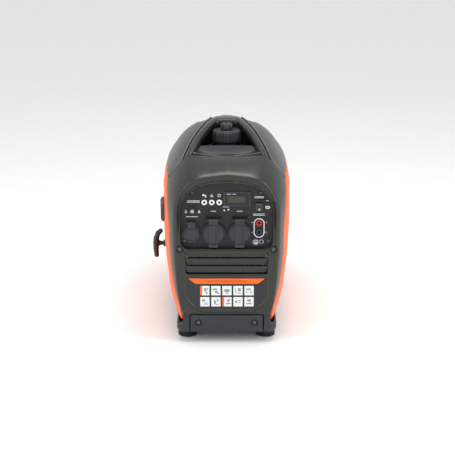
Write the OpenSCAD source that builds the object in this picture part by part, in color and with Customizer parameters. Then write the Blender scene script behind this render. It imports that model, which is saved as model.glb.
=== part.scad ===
// Portable enclosed inverter generator, about 2 kW.
// The control panel faces -Y, +Z is up, and the feet stand on z = 0.

/* [Body] */
// Length of the body, front to back
body_l = 510; // [440:5:620]
// Width of the body across the side covers
body_w = 290; // [260:5:350]
// Height from the floor to the top of the handle
body_h = 455; // [430:5:550]
// Height of the widest level
waist_z = 270; // [250:5:290]
// Wall of the moulded covers
wall = 3; // [2.5:0.5:4]
// Running gap between neighbouring covers
seam = 0.8; // [0.6:0.1:0.9]
// Height of the underside of the body above the floor
body_clear = 24; // [20:1:30]
// Drop of the roof line from the handle to the front edge
roof_drop = 75; // [60:1:85]
// Drop of the roof line from the handle to the rear edge
rear_drop = 100; // [80:1:105]

/* [Control panel] */
// Half width of the panel opening
panel_half_w = 98; // [96:1:104]
// Lower edge of the panel opening
panel_z0 = 214; // [212:1:216]
// Height of the panel opening
panel_h = 145; // [142:1:150]
// How far the panel face sits behind the front face
panel_recess = 16; // [12:1:18]
// Thickness of the panel plate
panel_t = 3; // [2:0.5:4]

/* [Sockets] */
// Distance between the two mains sockets
socket_pitch = 55.5; // [54:0.5:60]
// Diameter of the hinged socket lids
lid_d = 51; // [48:0.5:53]
// Bore of the mains socket
socket_bore_d = 39; // [37:0.5:40]
// Depth of the mains socket bore
socket_depth = 17.5; // [16:0.5:20]
// Diameter of the grounding stud
ground_d = 6; // [5:0.5:8]

/* [Fuel filler] */
// Outer diameter of the fuel cap
cap_d = 65; // [60:1:72]
// Height of the fuel cap's skirt
cap_h = 22; // [18:1:26]
// Diameter of the vent knob on the cap
vent_d = 28; // [24:1:32]
// Bore of the filler neck
neck_bore_d = 42; // [38:1:46]

/* [Handle] */
// Width of the grip bar
grip_w = 34; // [28:1:40]
// Thickness of the grip bar
grip_t = 20; // [18:1:24]
// Width of each arm
arm_w = 22; // [18:1:28]

/* [Feet] */
// Diameter of a rubber foot
foot_d = 42; // [36:1:50]
// Height of a rubber foot
foot_h = 15; // [12:1:18]
// Distance between the feet across the body
foot_pitch_x = 173; // [165:1:185]
// Distance between the feet along the body
foot_pitch_y = 400; // [360:1:420]

/* [Recoil starter] */
// How far the starter grip stands out of the left side
grip_out = 27; // [24:1:34]
// Radius at which the rope lies on the pulley
rope_r = 34; // [30:1:38]
// Diameter of the starter rope
rope_d = 4; // [3:0.5:5]
// Free travel of the starter grip
pull_travel = 480; // [400:10:600]

/* [Hidden] */
$fn = 48;

shell_colour = "#3b403e";
trim_colour = "#30363a";
orange = "#f07a2c";
black = "#17181a";
charcoal = "#34373a";
steel = "#a9abad";
half_l = body_l / 2;
half_w = body_w / 2;
// The starter grip stands out on one side, so the body's middle plane is moved to keep the origin central
shift_x = grip_out / 2;
front_y = -half_l;
rear_y = half_l;
// Exponents of the section and of the plan outline
section_n = 2.5;
plan_n = 3;
// The plan outline would close this far beyond the front and rear faces
plan_over = 54;
// Semi-axis of the section below the waist
belly = waist_z * 1.185;
// The roof is highest between these places
roof_front_y = front_y + 235;
roof_rear_y = front_y + 245;
// Side covers: top edge and bottom edge
side_z1 = waist_z + 82;
side_z0 = body_clear + 22;
// Front cover: how far it reaches over the roof
front_reach = 78;
// Seam between the top cover and the rear cover
rear_seam_y = rear_y - 78;
panel_y = front_y + panel_recess;
panel_wide_z = panel_z0 + 0.5 * panel_h;
socket_z = panel_z0 + 33;
eps = 0.01;
fit = 0.3;
running = 0.05;

// Share of the way from the crest to the front or rear edge
function front_share(y) = max(0, (roof_front_y - y) / (roof_front_y - front_y));
function rear_share(y) = max(0, (y - roof_rear_y) / (rear_y - roof_rear_y));
function roof(y) = body_h - roof_drop * pow(front_share(y), 2) - rear_drop * pow(rear_share(y), 1.5);
// Slope of the roof line at y
function roof_slope(y) = 2 * roof_drop * front_share(y) / (roof_front_y - front_y)
  - 1.5 * rear_drop * sqrt(rear_share(y)) / (rear_y - roof_rear_y);
function half_width(y) = half_w * pow(1 - pow(abs(y) / (half_l + plan_over), plan_n), 1 / plan_n);
function signed_pow(v, p) = sign(v) * pow(abs(v), p);
// One point of the section, at angle a from -90 at the bottom to 90 at the crest
function section_point(a, inset) = [
  (half_w - inset) * pow(abs(cos(a)), 2 / section_n),
  waist_z + (a > 0 ? body_h - waist_z - inset : belly - inset) * signed_pow(sin(a), 2 / section_n)
];
section_angles = [-62, -46, -32, -16, 0, 20, 36, 50, 63, 76, 90];
dome_angles = [0, 20, 36, 50, 63, 76, 90];
function mirrored(half) = concat(half,
  [for (i = [len(half) - 2:-1:0]) [-half[i][0], half[i][1]]]);
plan_shares = [0, 0.04, 0.11, 0.21, 0.34, 0.5, 0.66, 0.79, 0.89, 0.96, 1];
front_tangents = [0.1, 0.4, 0.72];
rear_tangents = [0.1, 0.35, 0.65, 0.92];

// The dome of the roof, tilted to lie along the roof line at y
module dome(y, inset) {
  outline = mirrored([for (a = dome_angles) section_point(a, inset) - [0, body_h]]);
  translate([0, y, roof(y)]) rotate([90 + atan(roof_slope(y)), 0, 0])
    linear_extrude(3 * body_l, center = true)
      polygon(concat([[half_w - inset, -2 * body_h]], outline, [[inset - half_w, -2 * body_h]]));
}

// The whole body: its section, its plan and its roof line, cut from one another
module body_solid(inset = 0) {
  y0 = front_y + inset;
  span = body_l - 2 * inset;
  intersection() {
    translate([0, y0 + span, 0]) rotate([90, 0, 0]) linear_extrude(span)
      polygon(mirrored([for (a = section_angles) section_point(a, inset)]));
    linear_extrude(body_h + 9) polygon(concat(
      [for (s = plan_shares) let (y = y0 + s * span) [half_width(y) - inset, y]],
      [for (s = plan_shares) let (y = y0 + (1 - s) * span) [inset - half_width(y), y]]
    ));
    intersection_for (s = front_tangents) dome(front_y + s * (roof_front_y - front_y), inset);
    intersection_for (s = rear_tangents) dome(roof_rear_y + s * (rear_y - roof_rear_y), inset);
  }
}

module body_shell(t = wall) {
  difference() {
    body_solid(0);
    body_solid(t);
  }
}

// Everything is drawn about the body's middle plane and then moved to the frame's place
module placed() {
  translate([shift_x, 0, 0]) children();
}

// An outline in the YZ plane, pushed through the body's width between x0 and x1
module side_cut(outline, x0, x1) {
  translate([x0, 0, 0]) rotate([90, 0, 90]) linear_extrude(x1 - x0) polygon(outline);
}

// An outline in the XZ plane, pushed back along +Y from y0 by depth
module front_cut(y0, depth) {
  translate([0, y0 + depth, 0]) rotate([90, 0, 0]) linear_extrude(depth) children();
}

// A round rod along +Y that starts at y0
module rod_y(x, z, y0, length, d, fn = 48) {
  translate([x, y0, z]) rotate([-90, 0, 0]) cylinder(h = length, d = d, $fn = fn);
}

// A round rod along +X that starts at x0
module rod_x(y, z, x0, length, d, fn = 48) {
  translate([x0, y, z]) rotate([0, 90, 0]) cylinder(h = length, d = d, $fn = fn);
}

module box_at(x0, x1, y0, y1, z0, z1) {
  translate([x0, y0, z0]) cube([x1 - x0, y1 - y0, z1 - z0]);
}

// Side view outline of a side cover, grown by g
function side_outline(g) = [
  [front_y + 118 - g, side_z1 + g],
  [front_y + 82 - g, side_z1 - 16 + g],
  [front_y + 48 - g, side_z1 - 50],
  [front_y + 30 - g, side_z1 - 100],
  [front_y + 30 - g, waist_z - 90],
  [front_y + 24 - g, side_z0 + 78],
  [front_y + 10 - g, side_z0 + 40],
  [front_y + 10 - g, side_z0 + 20],
  [front_y + 24 - g, side_z0 - g],
  [rear_y - 24 + g, side_z0 - g],
  [rear_y - 10 + g, side_z0 + 20],
  [rear_y - 10 + g, side_z0 + 40],
  [rear_y - 24 + g, side_z0 + 78],
  [rear_y - 30 + g, waist_z - 90],
  [rear_y - 30 + g, side_z1 + g]
];

// Half of an arched outline: straight sides, superellipse top, rounded lower corners
panel_corner = 18;
function arch_points(w, z0, zc, z1, r) = concat(
  [for (a = [0:10:180]) [w * signed_pow(cos(a), 2 / section_n),
    zc + (z1 - zc) * pow(sin(a), 2 / section_n)]],
  [for (a = [180:15:270]) [-w + r + r * cos(a), z0 + r + r * sin(a)]],
  [for (a = [270:15:360]) [w - r + r * cos(a), z0 + r + r * sin(a)]]
);

module panel_outline(g = 0) {
  polygon(arch_points(panel_half_w + g, panel_z0 - g, panel_wide_z,
    panel_z0 + panel_h + g, panel_corner + g));
}

// Lower edge of the front and rear covers, above the skirt
cover_z0 = body_clear + 42;
skirt_half_w = 79;
louver_z0 = 158;
louver_z1 = panel_z0 - 3;
louver_half_w = 92;
big_screw = [100, panel_z0 + 1];
skirt_screw = [61, body_clear + 23];
screw_hole_d = 4.6;
forehead_half_w = 84;
dish_front_z = body_h - 58;
dish_rear_z = body_h - 46;
dish_rear_y = front_y + 128;
well_floor_z = body_h - 69;

// Cuts the roof down between the arms: forehead first, then everything above the dish
module forehead_cut() {
  side_cut([
    [front_y - 1, body_h - 79],
    [front_y + 12, body_h - 71],
    [front_y + 40, body_h - 62],
    [front_y + front_reach + 2, dish_front_z],
    [front_y + front_reach + 2, body_h + 9],
    [front_y - 1, body_h + 9]
  ], -forehead_half_w, forehead_half_w);
}

module front_region() {
  difference() {
    union() {
      box_at(-half_w - 5, half_w + 5, front_y - 5, front_y + 118, cover_z0, side_z1);
      box_at(-half_w - 5, half_w + 5, front_y - 5, front_y + front_reach, side_z1, body_h + 9);
    }
    side_cut(side_outline(seam), -half_w - 9, half_w + 9);
  }
}

module screw_holes(list, y0, d) {
  for (p = list, s = [-1, 1]) rod_y(s * p[0], p[1], y0, 30, d, 24);
}

module front_cover() {
  color(shell_colour)
  difference() {
    union() {
      intersection() {
        body_shell();
        front_region();
      }
      // Return of the panel opening, back to the panel
      front_cut(front_y, panel_recess + panel_t) difference() {
        panel_outline(wall);
        panel_outline(0);
      }
      // Lip across the shell under the forehead
      intersection() {
        body_solid(1);
        side_cut([
          [front_y + 1, body_h - 81],
          [front_y + 12, body_h - 74.5],
          [front_y + 40, body_h - 65.5],
          [front_y + front_reach, dish_front_z - 3.5],
          [front_y + front_reach, dish_front_z - 0.5],
          [front_y + 40, body_h - 62],
          [front_y + 12, body_h - 71]
        ], -forehead_half_w - 1, forehead_half_w + 1);
      }
    }
    forehead_cut();
    front_cut(front_y - 1, panel_recess + panel_t + 2) panel_outline(0);
    // Opening behind the slats
    box_at(-louver_half_w, louver_half_w, front_y - 1, front_y + wall + 1, louver_z0, louver_z1 - 5);
    // Shallow bed for the label
    box_at(-86, 86, front_y - 1, front_y + 1, 82, 150);
    screw_holes([big_screw], front_y - 1, screw_hole_d);
  }
}

module front_louvers() {
  slat_pitch = (louver_z1 - 6 - louver_z0) / 3;
  color(shell_colour)
  difference() {
    union() {
      // Frame that clips in behind the cover
      box_at(-louver_half_w - 4, louver_half_w + 4, front_y + wall, front_y + wall + 3,
        louver_z0 - 4, louver_z1 - 1);
      for (i = [0:2])
        translate([0, 0, louver_z0 + 1.5 + i * slat_pitch])
          side_cut([
            [front_y + 0.5, slat_pitch * 0.5],
            [front_y + 2.5, 0],
            [front_y + 4.5, 0],
            [front_y + 4.5, slat_pitch * 0.75],
            [front_y + 0.5, slat_pitch * 0.7]
          ], -louver_half_w + 0.5, louver_half_w - 0.5);
    }
    for (i = [0:2])
      box_at(-louver_half_w + 6, louver_half_w - 6, front_y, front_y + 9,
        louver_z0 + 1.5 + (i + 0.75) * slat_pitch, louver_z0 + 1.5 + (i + 1) * slat_pitch - 1);
  }
}

module front_skirt() {
  color(trim_colour)
  difference() {
    union() {
      side_cut([
        [front_y + 3, body_clear + 6],
        [front_y + 1.5, cover_z0 - seam],
        [front_y + 5, cover_z0 - seam],
        [front_y + 10, body_clear],
        [front_y + 6, body_clear]
      ], -skirt_half_w, skirt_half_w);
      for (s = [-1, 1]) rod_y(s * skirt_screw[0], skirt_screw[1], front_y + 4, 9.7, 12, 24);
    }
    screw_holes([skirt_screw], front_y - 1, screw_hole_d);
  }
}

exhaust_x = 62;
exhaust_z = 140;
exhaust_d = 30;

module rear_cover() {
  color(shell_colour)
  difference() {
    intersection() {
      body_shell();
      difference() {
        union() {
          box_at(-half_w - 5, half_w + 5, rear_y - 30 + seam, rear_y + 5, cover_z0, side_z1 + seam);
          box_at(-half_w - 5, half_w + 5, rear_seam_y, rear_y + 5, side_z1, body_h + 9);
        }
        side_cut(side_outline(seam), -half_w - 9, half_w + 9);
      }
    }
    rod_y(exhaust_x, exhaust_z, rear_y - 9, 20, exhaust_d + 10);
    // Cooling slots
    for (i = [0:6])
      box_at(-80, 30, rear_y - wall - 2, rear_y + 2, 100 + i * 14, 106 + i * 14);
    for (i = [0:7])
      box_at(-80, 80, rear_y - wall - 2, rear_y + 2, 216 + i * 14, 222 + i * 14);
    handle_plan_cut(seam);
  }
}

dial_y = front_y + 130;
dial_z = waist_z - 2;
dial_d = 50;
crank_y = front_y + 270;
crank_z = 195;
rope_z = crank_z - rope_r;
rope_exit_y = front_y + 215;
guide_d = 16;

module side_cover(s) {
  intersection() {
    body_shell();
    side_cut(side_outline(0), s > 0 ? 50 : -half_w - 5, s > 0 ? half_w + 5 : -50);
  }
}

module left_cover() {
  color(orange)
  difference() {
    side_cover(-1);
    rod_x(dial_y, dial_z, -half_w - 5, 20, dial_d + 6);
    rod_x(rope_exit_y, rope_z, -half_w - 5, 20, guide_d + 2 * fit);
    // Cooling slots under the dial
    for (i = [0:4])
      box_at(-half_w - 5, -half_w + 25, crank_y + 60 + i * 16, crank_y + 67 + i * 16,
        crank_z - 60, crank_z + 40);
  }
}

module right_cover() {
  color(orange)
  difference() {
    side_cover(1);
    for (i = [0:4])
      box_at(half_w - 25, half_w + 5, crank_y + 60 + i * 16, crank_y + 67 + i * 16,
        crank_z - 60, crank_z + 40);
  }
}

// Arm centre line: from the front shoulder to the neck
arm_x0 = 92;
arm_x1 = 26;
arm_y0 = front_y + front_reach + seam;
neck_y = front_y + 235;
bar_y1 = rear_seam_y - 47;
arm_slope = (arm_x0 - arm_x1) / (neck_y - front_y - 60);
function arm_x(y) = arm_x0 - arm_slope * (y - front_y - 60);
neck_front_y = front_y + 217;
root_half_w = 40;

// Outline of the handle in plan, grown by g
module handle_plan(g = 0) {
  polygon([
    [arm_x(arm_y0) - arm_w / 2 - g, arm_y0 - g],
    [arm_x(arm_y0) + arm_w / 2 + g, arm_y0 - g],
    [arm_x(neck_y) + arm_w / 2 + g, neck_y],
    [grip_w / 2 + 8 + g, neck_y + 16],
    [grip_w / 2 + g, neck_y + 36],
    [grip_w / 2 + g, bar_y1 - 12],
    [root_half_w + g, bar_y1 + 12 - g],
    [root_half_w + g, rear_seam_y + 12 + g],
    [-root_half_w - g, rear_seam_y + 12 + g],
    [-root_half_w - g, bar_y1 + 12 - g],
    [-grip_w / 2 - g, bar_y1 - 12],
    [-grip_w / 2 - g, neck_y + 36],
    [-grip_w / 2 - 8 - g, neck_y + 16],
    [-arm_x(neck_y) - arm_w / 2 - g, neck_y],
    [-arm_x(arm_y0) - arm_w / 2 - g, arm_y0 - g],
    [-arm_x(arm_y0) + arm_w / 2 + g, arm_y0 - g],
    [-arm_x(neck_front_y) + arm_w / 2 + g, neck_front_y - g],
    [arm_x(neck_front_y) - arm_w / 2 - g, neck_front_y - g]
  ]);
}

module handle_plan_cut(g) {
  translate([0, 0, side_z1 + 20]) linear_extrude(body_h) handle_plan(g);
}

module carry_handle() {
  color(shell_colour)
  intersection() {
    difference() {
      body_solid(0);
      body_solid(grip_t);
    }
    translate([0, 0, side_z1 + 18]) linear_extrude(body_h) handle_plan(0);
  }
}

basin_half_w = 62;
basin_y0 = neck_y + 14;
basin_y1 = bar_y1;
basin_z = body_h - 67;

module top_cover() {
  color(shell_colour)
  difference() {
    union() {
      intersection() {
        body_shell();
        box_at(-half_w - 5, half_w + 5, front_y + front_reach + seam, rear_seam_y - seam,
          side_z1 + seam, body_h + 9);
      }
      // Walls and floor of the hand basin
      intersection() {
        body_solid(0.5);
        box_at(-basin_half_w - wall, basin_half_w + wall, basin_y0 - wall, basin_y1 + wall,
          basin_z - wall, body_h + 9);
      }
    }
    box_at(-basin_half_w, basin_half_w, basin_y0, basin_y1, basin_z, body_h + 9);
    handle_plan_space(fit);
    deck_space(fit);
  }
}

// Room for the handle inside the top cover
module handle_plan_space(g) {
  difference() {
    translate([0, 0, side_z1 + 20]) linear_extrude(body_h) handle_plan(g);
    body_solid(grip_t + g);
  }
}

deck_half_w0 = forehead_half_w;
function deck_half(y) = arm_x(y) - arm_w / 2 - fit;

module deck_plan(g = 0) {
  polygon([
    [-deck_half(arm_y0) - g, arm_y0 - g],
    [deck_half(arm_y0) + g, arm_y0 - g],
    [deck_half(neck_front_y - fit) + g, neck_front_y - fit + g],
    [-deck_half(neck_front_y - fit) - g, neck_front_y - fit + g]
  ]);
}

module deck_space(g) {
  translate([0, 0, well_floor_z - 3 - g]) linear_extrude(body_h) deck_plan(g);
}

cap_y = front_y + 178;
cap_z = body_h - 42;
cap_cavity = 14;
neck_top_z = cap_z + 11.7;
neck_wall = 3.5;
neck_d = neck_bore_d + 2 * neck_wall;
vent_pin_d = 8;

module filler_deck() {
  color(trim_colour)
  difference() {
    intersection() {
      translate([0, 0, well_floor_z - 3]) linear_extrude(60) deck_plan();
      union() {
        // Dish that rises towards the well
        side_cut([
          [front_y, well_floor_z - 3],
          [dish_rear_y, well_floor_z - 3],
          [dish_rear_y, dish_rear_z],
          [dish_rear_y - 14, dish_rear_z - 1.5],
          [arm_y0 + 14, dish_front_z + 1.5],
          [front_y, dish_front_z]
        ], -half_w, half_w);
        box_at(-half_w, half_w, dish_rear_y - 1, neck_front_y, well_floor_z - 3, dish_rear_z);
      }
    }
    translate([0, 0, well_floor_z]) linear_extrude(60)
      intersection() {
        deck_plan(-3);
        translate([-half_w, dish_rear_y + 3]) square([body_w, 300]);
      }
    // Hollow under the dish
    translate([0, 0, well_floor_z - 4]) linear_extrude(8)
      intersection() {
        deck_plan(-4);
        translate([-half_w, arm_y0 + 4]) square([body_w, dish_rear_y - arm_y0 - 8]);
      }
    translate([0, cap_y, well_floor_z - 5]) cylinder(h = 20, d = neck_d + 2 * fit);
  }
}

tank_top_z = well_floor_z - 3 - fit - 2;

module fuel_tank() {
  color(black)
  difference() {
    translate([0, 0, tank_top_z - 78])
      linear_extrude(78) offset(r = 14, $fn = 24) square([162, 214], center = true);
    translate([0, 0, tank_top_z - 75])
      linear_extrude(72) offset(r = 11, $fn = 24) square([162, 214], center = true);
    translate([0, cap_y, tank_top_z - 5]) cylinder(h = 9, d = neck_d + 2 * 0.15);
  }
}

module filler_neck() {
  color(charcoal)
  difference() {
    union() {
      translate([0, cap_y, tank_top_z - 6]) cylinder(h = neck_top_z - tank_top_z + 6, d = neck_d);
      translate([0, cap_y, tank_top_z]) cylinder(h = 1.8, d = neck_d + 14);
    }
    translate([0, cap_y, tank_top_z - 7]) cylinder(h = 80, d = neck_bore_d);
  }
}

module fuel_cap() {
  color(black)
  difference() {
    translate([0, cap_y, cap_z]) {
      cylinder(h = cap_h + 2.3, d = cap_d - 3);
      for (i = [0:35]) rotate([0, 0, 10 * i])
        translate([cap_d / 2 - 3.5, -1.6, 0]) cube([3.5, 3.2, cap_h + 2.3]);
    }
    translate([0, cap_y, cap_z - 1]) cylinder(h = cap_cavity + 1, d = neck_d + 2);
    translate([0, cap_y, cap_z]) cylinder(h = 40, d = vent_pin_d + 2 * running);
  }
}

vent_z = cap_z + cap_h + 2.3 + fit;
insert_plug = 14;

// Bayonet plug inside the cap, which seals the neck while the cap turns on it
module cap_insert() {
  color(black) {
    translate([0, cap_y, neck_top_z + 0.1])
      cylinder(h = cap_z + cap_cavity - fit - neck_top_z - 0.1, d = neck_d);
    translate([0, cap_y, neck_top_z - insert_plug])
      cylinder(h = insert_plug + 0.5, d = neck_bore_d - 2 * fit);
  }
}

module vent_knob() {
  color(black) {
    translate([0, cap_y, vent_z]) cylinder(h = 6, d = vent_d - 6);
    for (i = [0:5]) rotate_about(cap_y, 60 * i)
      translate([vent_d / 2 - 4.5, 0, vent_z]) cylinder(h = 9, d = 9);
    translate([0, cap_y, cap_z + cap_cavity + 1])
      cylinder(h = vent_z - cap_z - cap_cavity - 1, d = vent_pin_d);
  }
}

module rotate_about(y, a) {
  translate([0, y, 0]) rotate([0, 0, a]) children();
}

meter_x = 22;
meter_z = panel_z0 + 108.5;
meter_w = 58;
meter_h = 33;
lamp_x = [-47, -31, -15.5];
lamp_z = panel_z0 + 101;
breaker = [-72.5, panel_z0 + 83];
dc = [-75, panel_z0 + 40];
dc_d = 30;
socket_x = socket_pitch / 2;
rocker = [69, panel_z0 + 91];
rocker_w = 14;
rocker_h = 22;
terminal = [69, panel_z0 + 46];
ground = [62, panel_z0 + 14];
panel_screw = [[-72, 122], [72, 122], [-89, 16], [89.5, 16]];
socket_body_d = 47;

module panel_holes(y0, t) {
  rod_y(breaker[0], breaker[1], y0, t, 12 + 2 * fit);
  rod_y(dc[0], dc[1], y0, t, dc_d + 2 * fit);
  for (s = [-1, 1]) rod_y(s * socket_x, socket_z, y0, t, socket_body_d + 2 * fit);
  for (x = lamp_x) rod_y(x, lamp_z, y0, t, 9 + 2 * fit);
  for (p = panel_screw) rod_y(p[0], panel_z0 + p[1], y0, t, 4.4);
  rod_y(ground[0], ground[1], y0, t, ground_d + 2 * fit);
  for (s = [-1, 1]) rod_y(terminal[0], terminal[1] + 10 * s, y0, t, 9 + 2 * fit);
  box_at(meter_x - meter_w / 2 + 3, meter_x + meter_w / 2 - 3, y0, y0 + t,
    meter_z - meter_h / 2 + 3, meter_z + meter_h / 2 - 3);
  box_at(rocker[0] - rocker_w / 2 - 1.3, rocker[0] + rocker_w / 2 + 1.3, y0, y0 + t,
    rocker[1] - rocker_h / 2 - 1.3, rocker[1] + rocker_h / 2 + 1.3);
}

module control_panel() {
  color(black)
  difference() {
    front_cut(panel_y, panel_t) panel_outline(-fit);
    panel_holes(panel_y - 1, panel_t + 2);
  }
}

// A cross-recess screw along +Y with its head's face at y0
module screw(x, z, y0, head_d, length) {
  difference() {
    union() {
      rod_y(x, z, y0, 2.5, head_d, 32);
      rod_y(x, z, y0 + 2.5, length, 4, 24);
    }
    for (a = [0, 90]) translate([x, y0 - 1, z]) rotate([0, a, 0])
      translate([-0.5, 0, -head_d * 0.3]) cube([1, 2.2, head_d * 0.6]);
  }
}

module panel_screws() {
  color(black)
  for (p = panel_screw) screw(p[0], panel_z0 + p[1], panel_y - 2.5, 8, 9);
}

module cover_screws() {
  color(steel) {
    for (s = [-1, 1]) {
      screw(s * big_screw[0], big_screw[1], front_y - 1.5 - 1, 11, 14);
      screw(s * skirt_screw[0], skirt_screw[1], front_y - 1, 11, 12);
    }
  }
}

module meter() {
  color(charcoal)
  union() {
    box_at(meter_x - meter_w / 2, meter_x + meter_w / 2, panel_y - 3, panel_y,
      meter_z - meter_h / 2, meter_z + meter_h / 2);
    box_at(meter_x - meter_w / 2 + 3.3, meter_x + meter_w / 2 - 3.3, panel_y - 1, panel_y + 22,
      meter_z - meter_h / 2 + 3.3, meter_z + meter_h / 2 - 3.3);
  }
}

module indicator_lights() {
  color("white")
  for (x = lamp_x) {
    rod_y(x, lamp_z, panel_y - 1.5, 1.5, 12, 32);
    rod_y(x, lamp_z, panel_y - 0.5, 14, 9, 32);
  }
}

module breaker_collar() {
  color(black)
  difference() {
    union() {
      rod_y(breaker[0], breaker[1], panel_y - 3, 3, 17);
      rod_y(breaker[0], breaker[1], panel_y - 1, 22, 12);
    }
    rod_y(breaker[0], breaker[1], panel_y - 4, 19, 9);
  }
}

breaker_travel = 4;

module breaker_button() {
  color(steel) rod_y(breaker[0], breaker[1], panel_y - 8, 16, 9 - 2 * running);
}

lid_hinge_z = socket_z + 32;
lid_hinge_y = panel_y - 9.5;
lid_gap_y = panel_y - 7;
lid_t = 5;
hinge_pin_d = 3;
lid_tab_w = 24;

// Mains socket with a round well, an earth clip each side and a hinge bracket above
module mains_socket(x) {
  color(black)
  difference() {
    union() {
      rod_y(x, socket_z, lid_gap_y + fit, panel_y - lid_gap_y - fit, socket_body_d + 4);
      rod_y(x, socket_z, panel_y - 1, 34, socket_body_d);
      // Bracket ears hold the lid's pin
      for (s = [-1, 1])
        box_at(x + s * 14.2 - 1.8, x + s * 14.2 + 1.8, lid_hinge_y - 3.5, panel_y,
          lid_hinge_z - 3.5, lid_hinge_z + 3.5);
      rod_x(lid_hinge_y, lid_hinge_z, x - 14, 28, hinge_pin_d, 32);
      box_at(x - 16, x + 16, panel_y - 2.5, panel_y, lid_hinge_z - 10, lid_hinge_z + 3.5);
    }
    rod_y(x, socket_z, lid_gap_y - 1, socket_depth + 1, socket_bore_d);
    for (s = [-1, 1]) rod_y(x + s * 9.5, socket_z, lid_gap_y, socket_depth + 14, 5, 32);
  }
}

module socket_flap(x) {
  color(charcoal)
  difference() {
    union() {
      rod_y(x, socket_z, lid_gap_y - lid_t, lid_t, lid_d);
      // Tab up to the hinge knuckle, and the finger tab below
      box_at(x - lid_tab_w / 2, x + lid_tab_w / 2, lid_gap_y - lid_t - 1, lid_gap_y,
        socket_z - lid_d / 2 - 4, lid_hinge_z - 4);
      box_at(x - lid_tab_w / 2, x + lid_tab_w / 2, lid_hinge_y - 2.5, lid_hinge_y + 2.5,
        lid_hinge_z - 5, lid_hinge_z);
      rod_x(lid_hinge_y, lid_hinge_z, x - lid_tab_w / 2, lid_tab_w, 6, 32);
    }
    rod_x(lid_hinge_y, lid_hinge_z, x - 20, 40, hinge_pin_d + 2 * running, 32);
    for (s = [-1, 1])
      box_at(x + s * (lid_tab_w / 2 + 0.6) - 0.6, x + s * (lid_tab_w / 2 + 0.6) + 0.6,
        lid_gap_y - lid_t - 2, lid_gap_y - lid_t + 1, socket_z - lid_d, socket_z + lid_d);
  }
}

dc_hinge_z = dc[1] + 17.5;
dc_pin_d = 2.5;
dc_hinge_y = panel_y - 5.7;

module dc_socket() {
  color(black)
  difference() {
    union() {
      rod_y(dc[0], dc[1], panel_y - 3, 3, dc_d + 5);
      rod_y(dc[0], dc[1], panel_y - 1, 26, dc_d);
      for (s = [-1, 1])
        box_at(dc[0] + s * 8.2 - 1.2, dc[0] + s * 8.2 + 1.2, panel_y - 7.5, panel_y,
          dc_hinge_z - 2.5, dc_hinge_z + 2.5);
      rod_x(dc_hinge_y, dc_hinge_z, dc[0] - 8, 16, dc_pin_d, 32);
    }
    rod_y(dc[0], dc[1], panel_y - 4, 18, 21);
    for (s = [-1, 1]) rod_y(dc[0] + s * 5, dc[1], panel_y, 22, 3, 24);
  }
}

module dc_flap() {
  color(charcoal)
  difference() {
    union() {
      front_cut(panel_y - 3 - fit - 4, 4) polygon(concat(
        [for (a = [0:15:180]) [dc[0] + 18 * cos(a), dc[1] + 2 + 12.4 * sin(a)]],
        [[dc[0] - 17, dc[1] - 8], [dc[0] - 8, dc[1] - 19], [dc[0] - 5, dc[1] - 26],
          [dc[0] + 5, dc[1] - 26], [dc[0] + 8, dc[1] - 19], [dc[0] + 17, dc[1] - 8]]
      ));
      rod_x(dc_hinge_y, dc_hinge_z, dc[0] - 6.5, 13, 4.6, 32);
      box_at(dc[0] - 6.5, dc[0] + 6.5, panel_y - 3 - fit - 4, panel_y - 3 - fit,
        dc[1] + 10, dc_hinge_z);
    }
    rod_x(dc_hinge_y, dc_hinge_z, dc[0] - 12, 24, dc_pin_d + 2 * running, 32);
  }
}

rocker_pin_d = 2.4;
rocker_axis_y = panel_y + 3;

module rocker_frame() {
  color(black)
  difference() {
    union() {
      box_at(rocker[0] - rocker_w / 2 - 3, rocker[0] + rocker_w / 2 + 3, panel_y - 2.5, panel_y,
        rocker[1] - rocker_h / 2 - 3, rocker[1] + rocker_h / 2 + 5);
      box_at(rocker[0] - rocker_w / 2 - 1, rocker[0] + rocker_w / 2 + 1, panel_y - 1, panel_y + 20,
        rocker[1] - rocker_h / 2 - 1, rocker[1] + rocker_h / 2 + 1);
    }
    box_at(rocker[0] - rocker_w / 2, rocker[0] + rocker_w / 2, panel_y - 6, panel_y + 15,
      rocker[1] - rocker_h / 2, rocker[1] + rocker_h / 2);
    rod_x(rocker_axis_y, rocker[1], rocker[0] - rocker_w / 2 - 0.8, rocker_w + 1.6, rocker_pin_d, 32);
  }
}

module rocker_switch() {
  h = rocker_h / 2 - 1.8;
  color(charcoal)
  union() {
    side_cut([
      [rocker_axis_y - 9, rocker[1] + h],
      [rocker_axis_y - 5.8, rocker[1]],
      [rocker_axis_y - 5.6, rocker[1] - h],
      [rocker_axis_y, rocker[1] - h * 0.8],
      [rocker_axis_y + 4, rocker[1]],
      [rocker_axis_y, rocker[1] + h * 0.8]
    ], rocker[0] - rocker_w / 2 + fit, rocker[0] + rocker_w / 2 - fit);
    rod_x(rocker_axis_y, rocker[1], rocker[0] - rocker_w / 2 - 0.7, rocker_w + 1.4,
      rocker_pin_d - 2 * running, 32);
  }
}

terminal_w = 23;
terminal_h = 43;

module terminal_ring() {
  color("silver")
  front_cut(panel_y - 5, 5) difference() {
    stadium(terminal_w, terminal_h);
    stadium(terminal_w - 4, terminal_h - 4);
  }
}

module stadium(w, h) {
  translate(terminal) {
    square([w, h - w], center = true);
    for (s = [-1, 1]) translate([0, s * (h - w) / 2]) circle(d = w, $fn = 48);
  }
}

module parallel_jacks() {
  color("#b32022")
  for (s = [-1, 1]) difference() {
    union() {
      rod_y(terminal[0], terminal[1] + 10 * s, panel_y - 4, 4, 14);
      rod_y(terminal[0], terminal[1] + 10 * s, panel_y - 1, 26, 9);
    }
    rod_y(terminal[0], terminal[1] + 10 * s, panel_y - 5, 22, 4, 32);
  }
}

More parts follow.
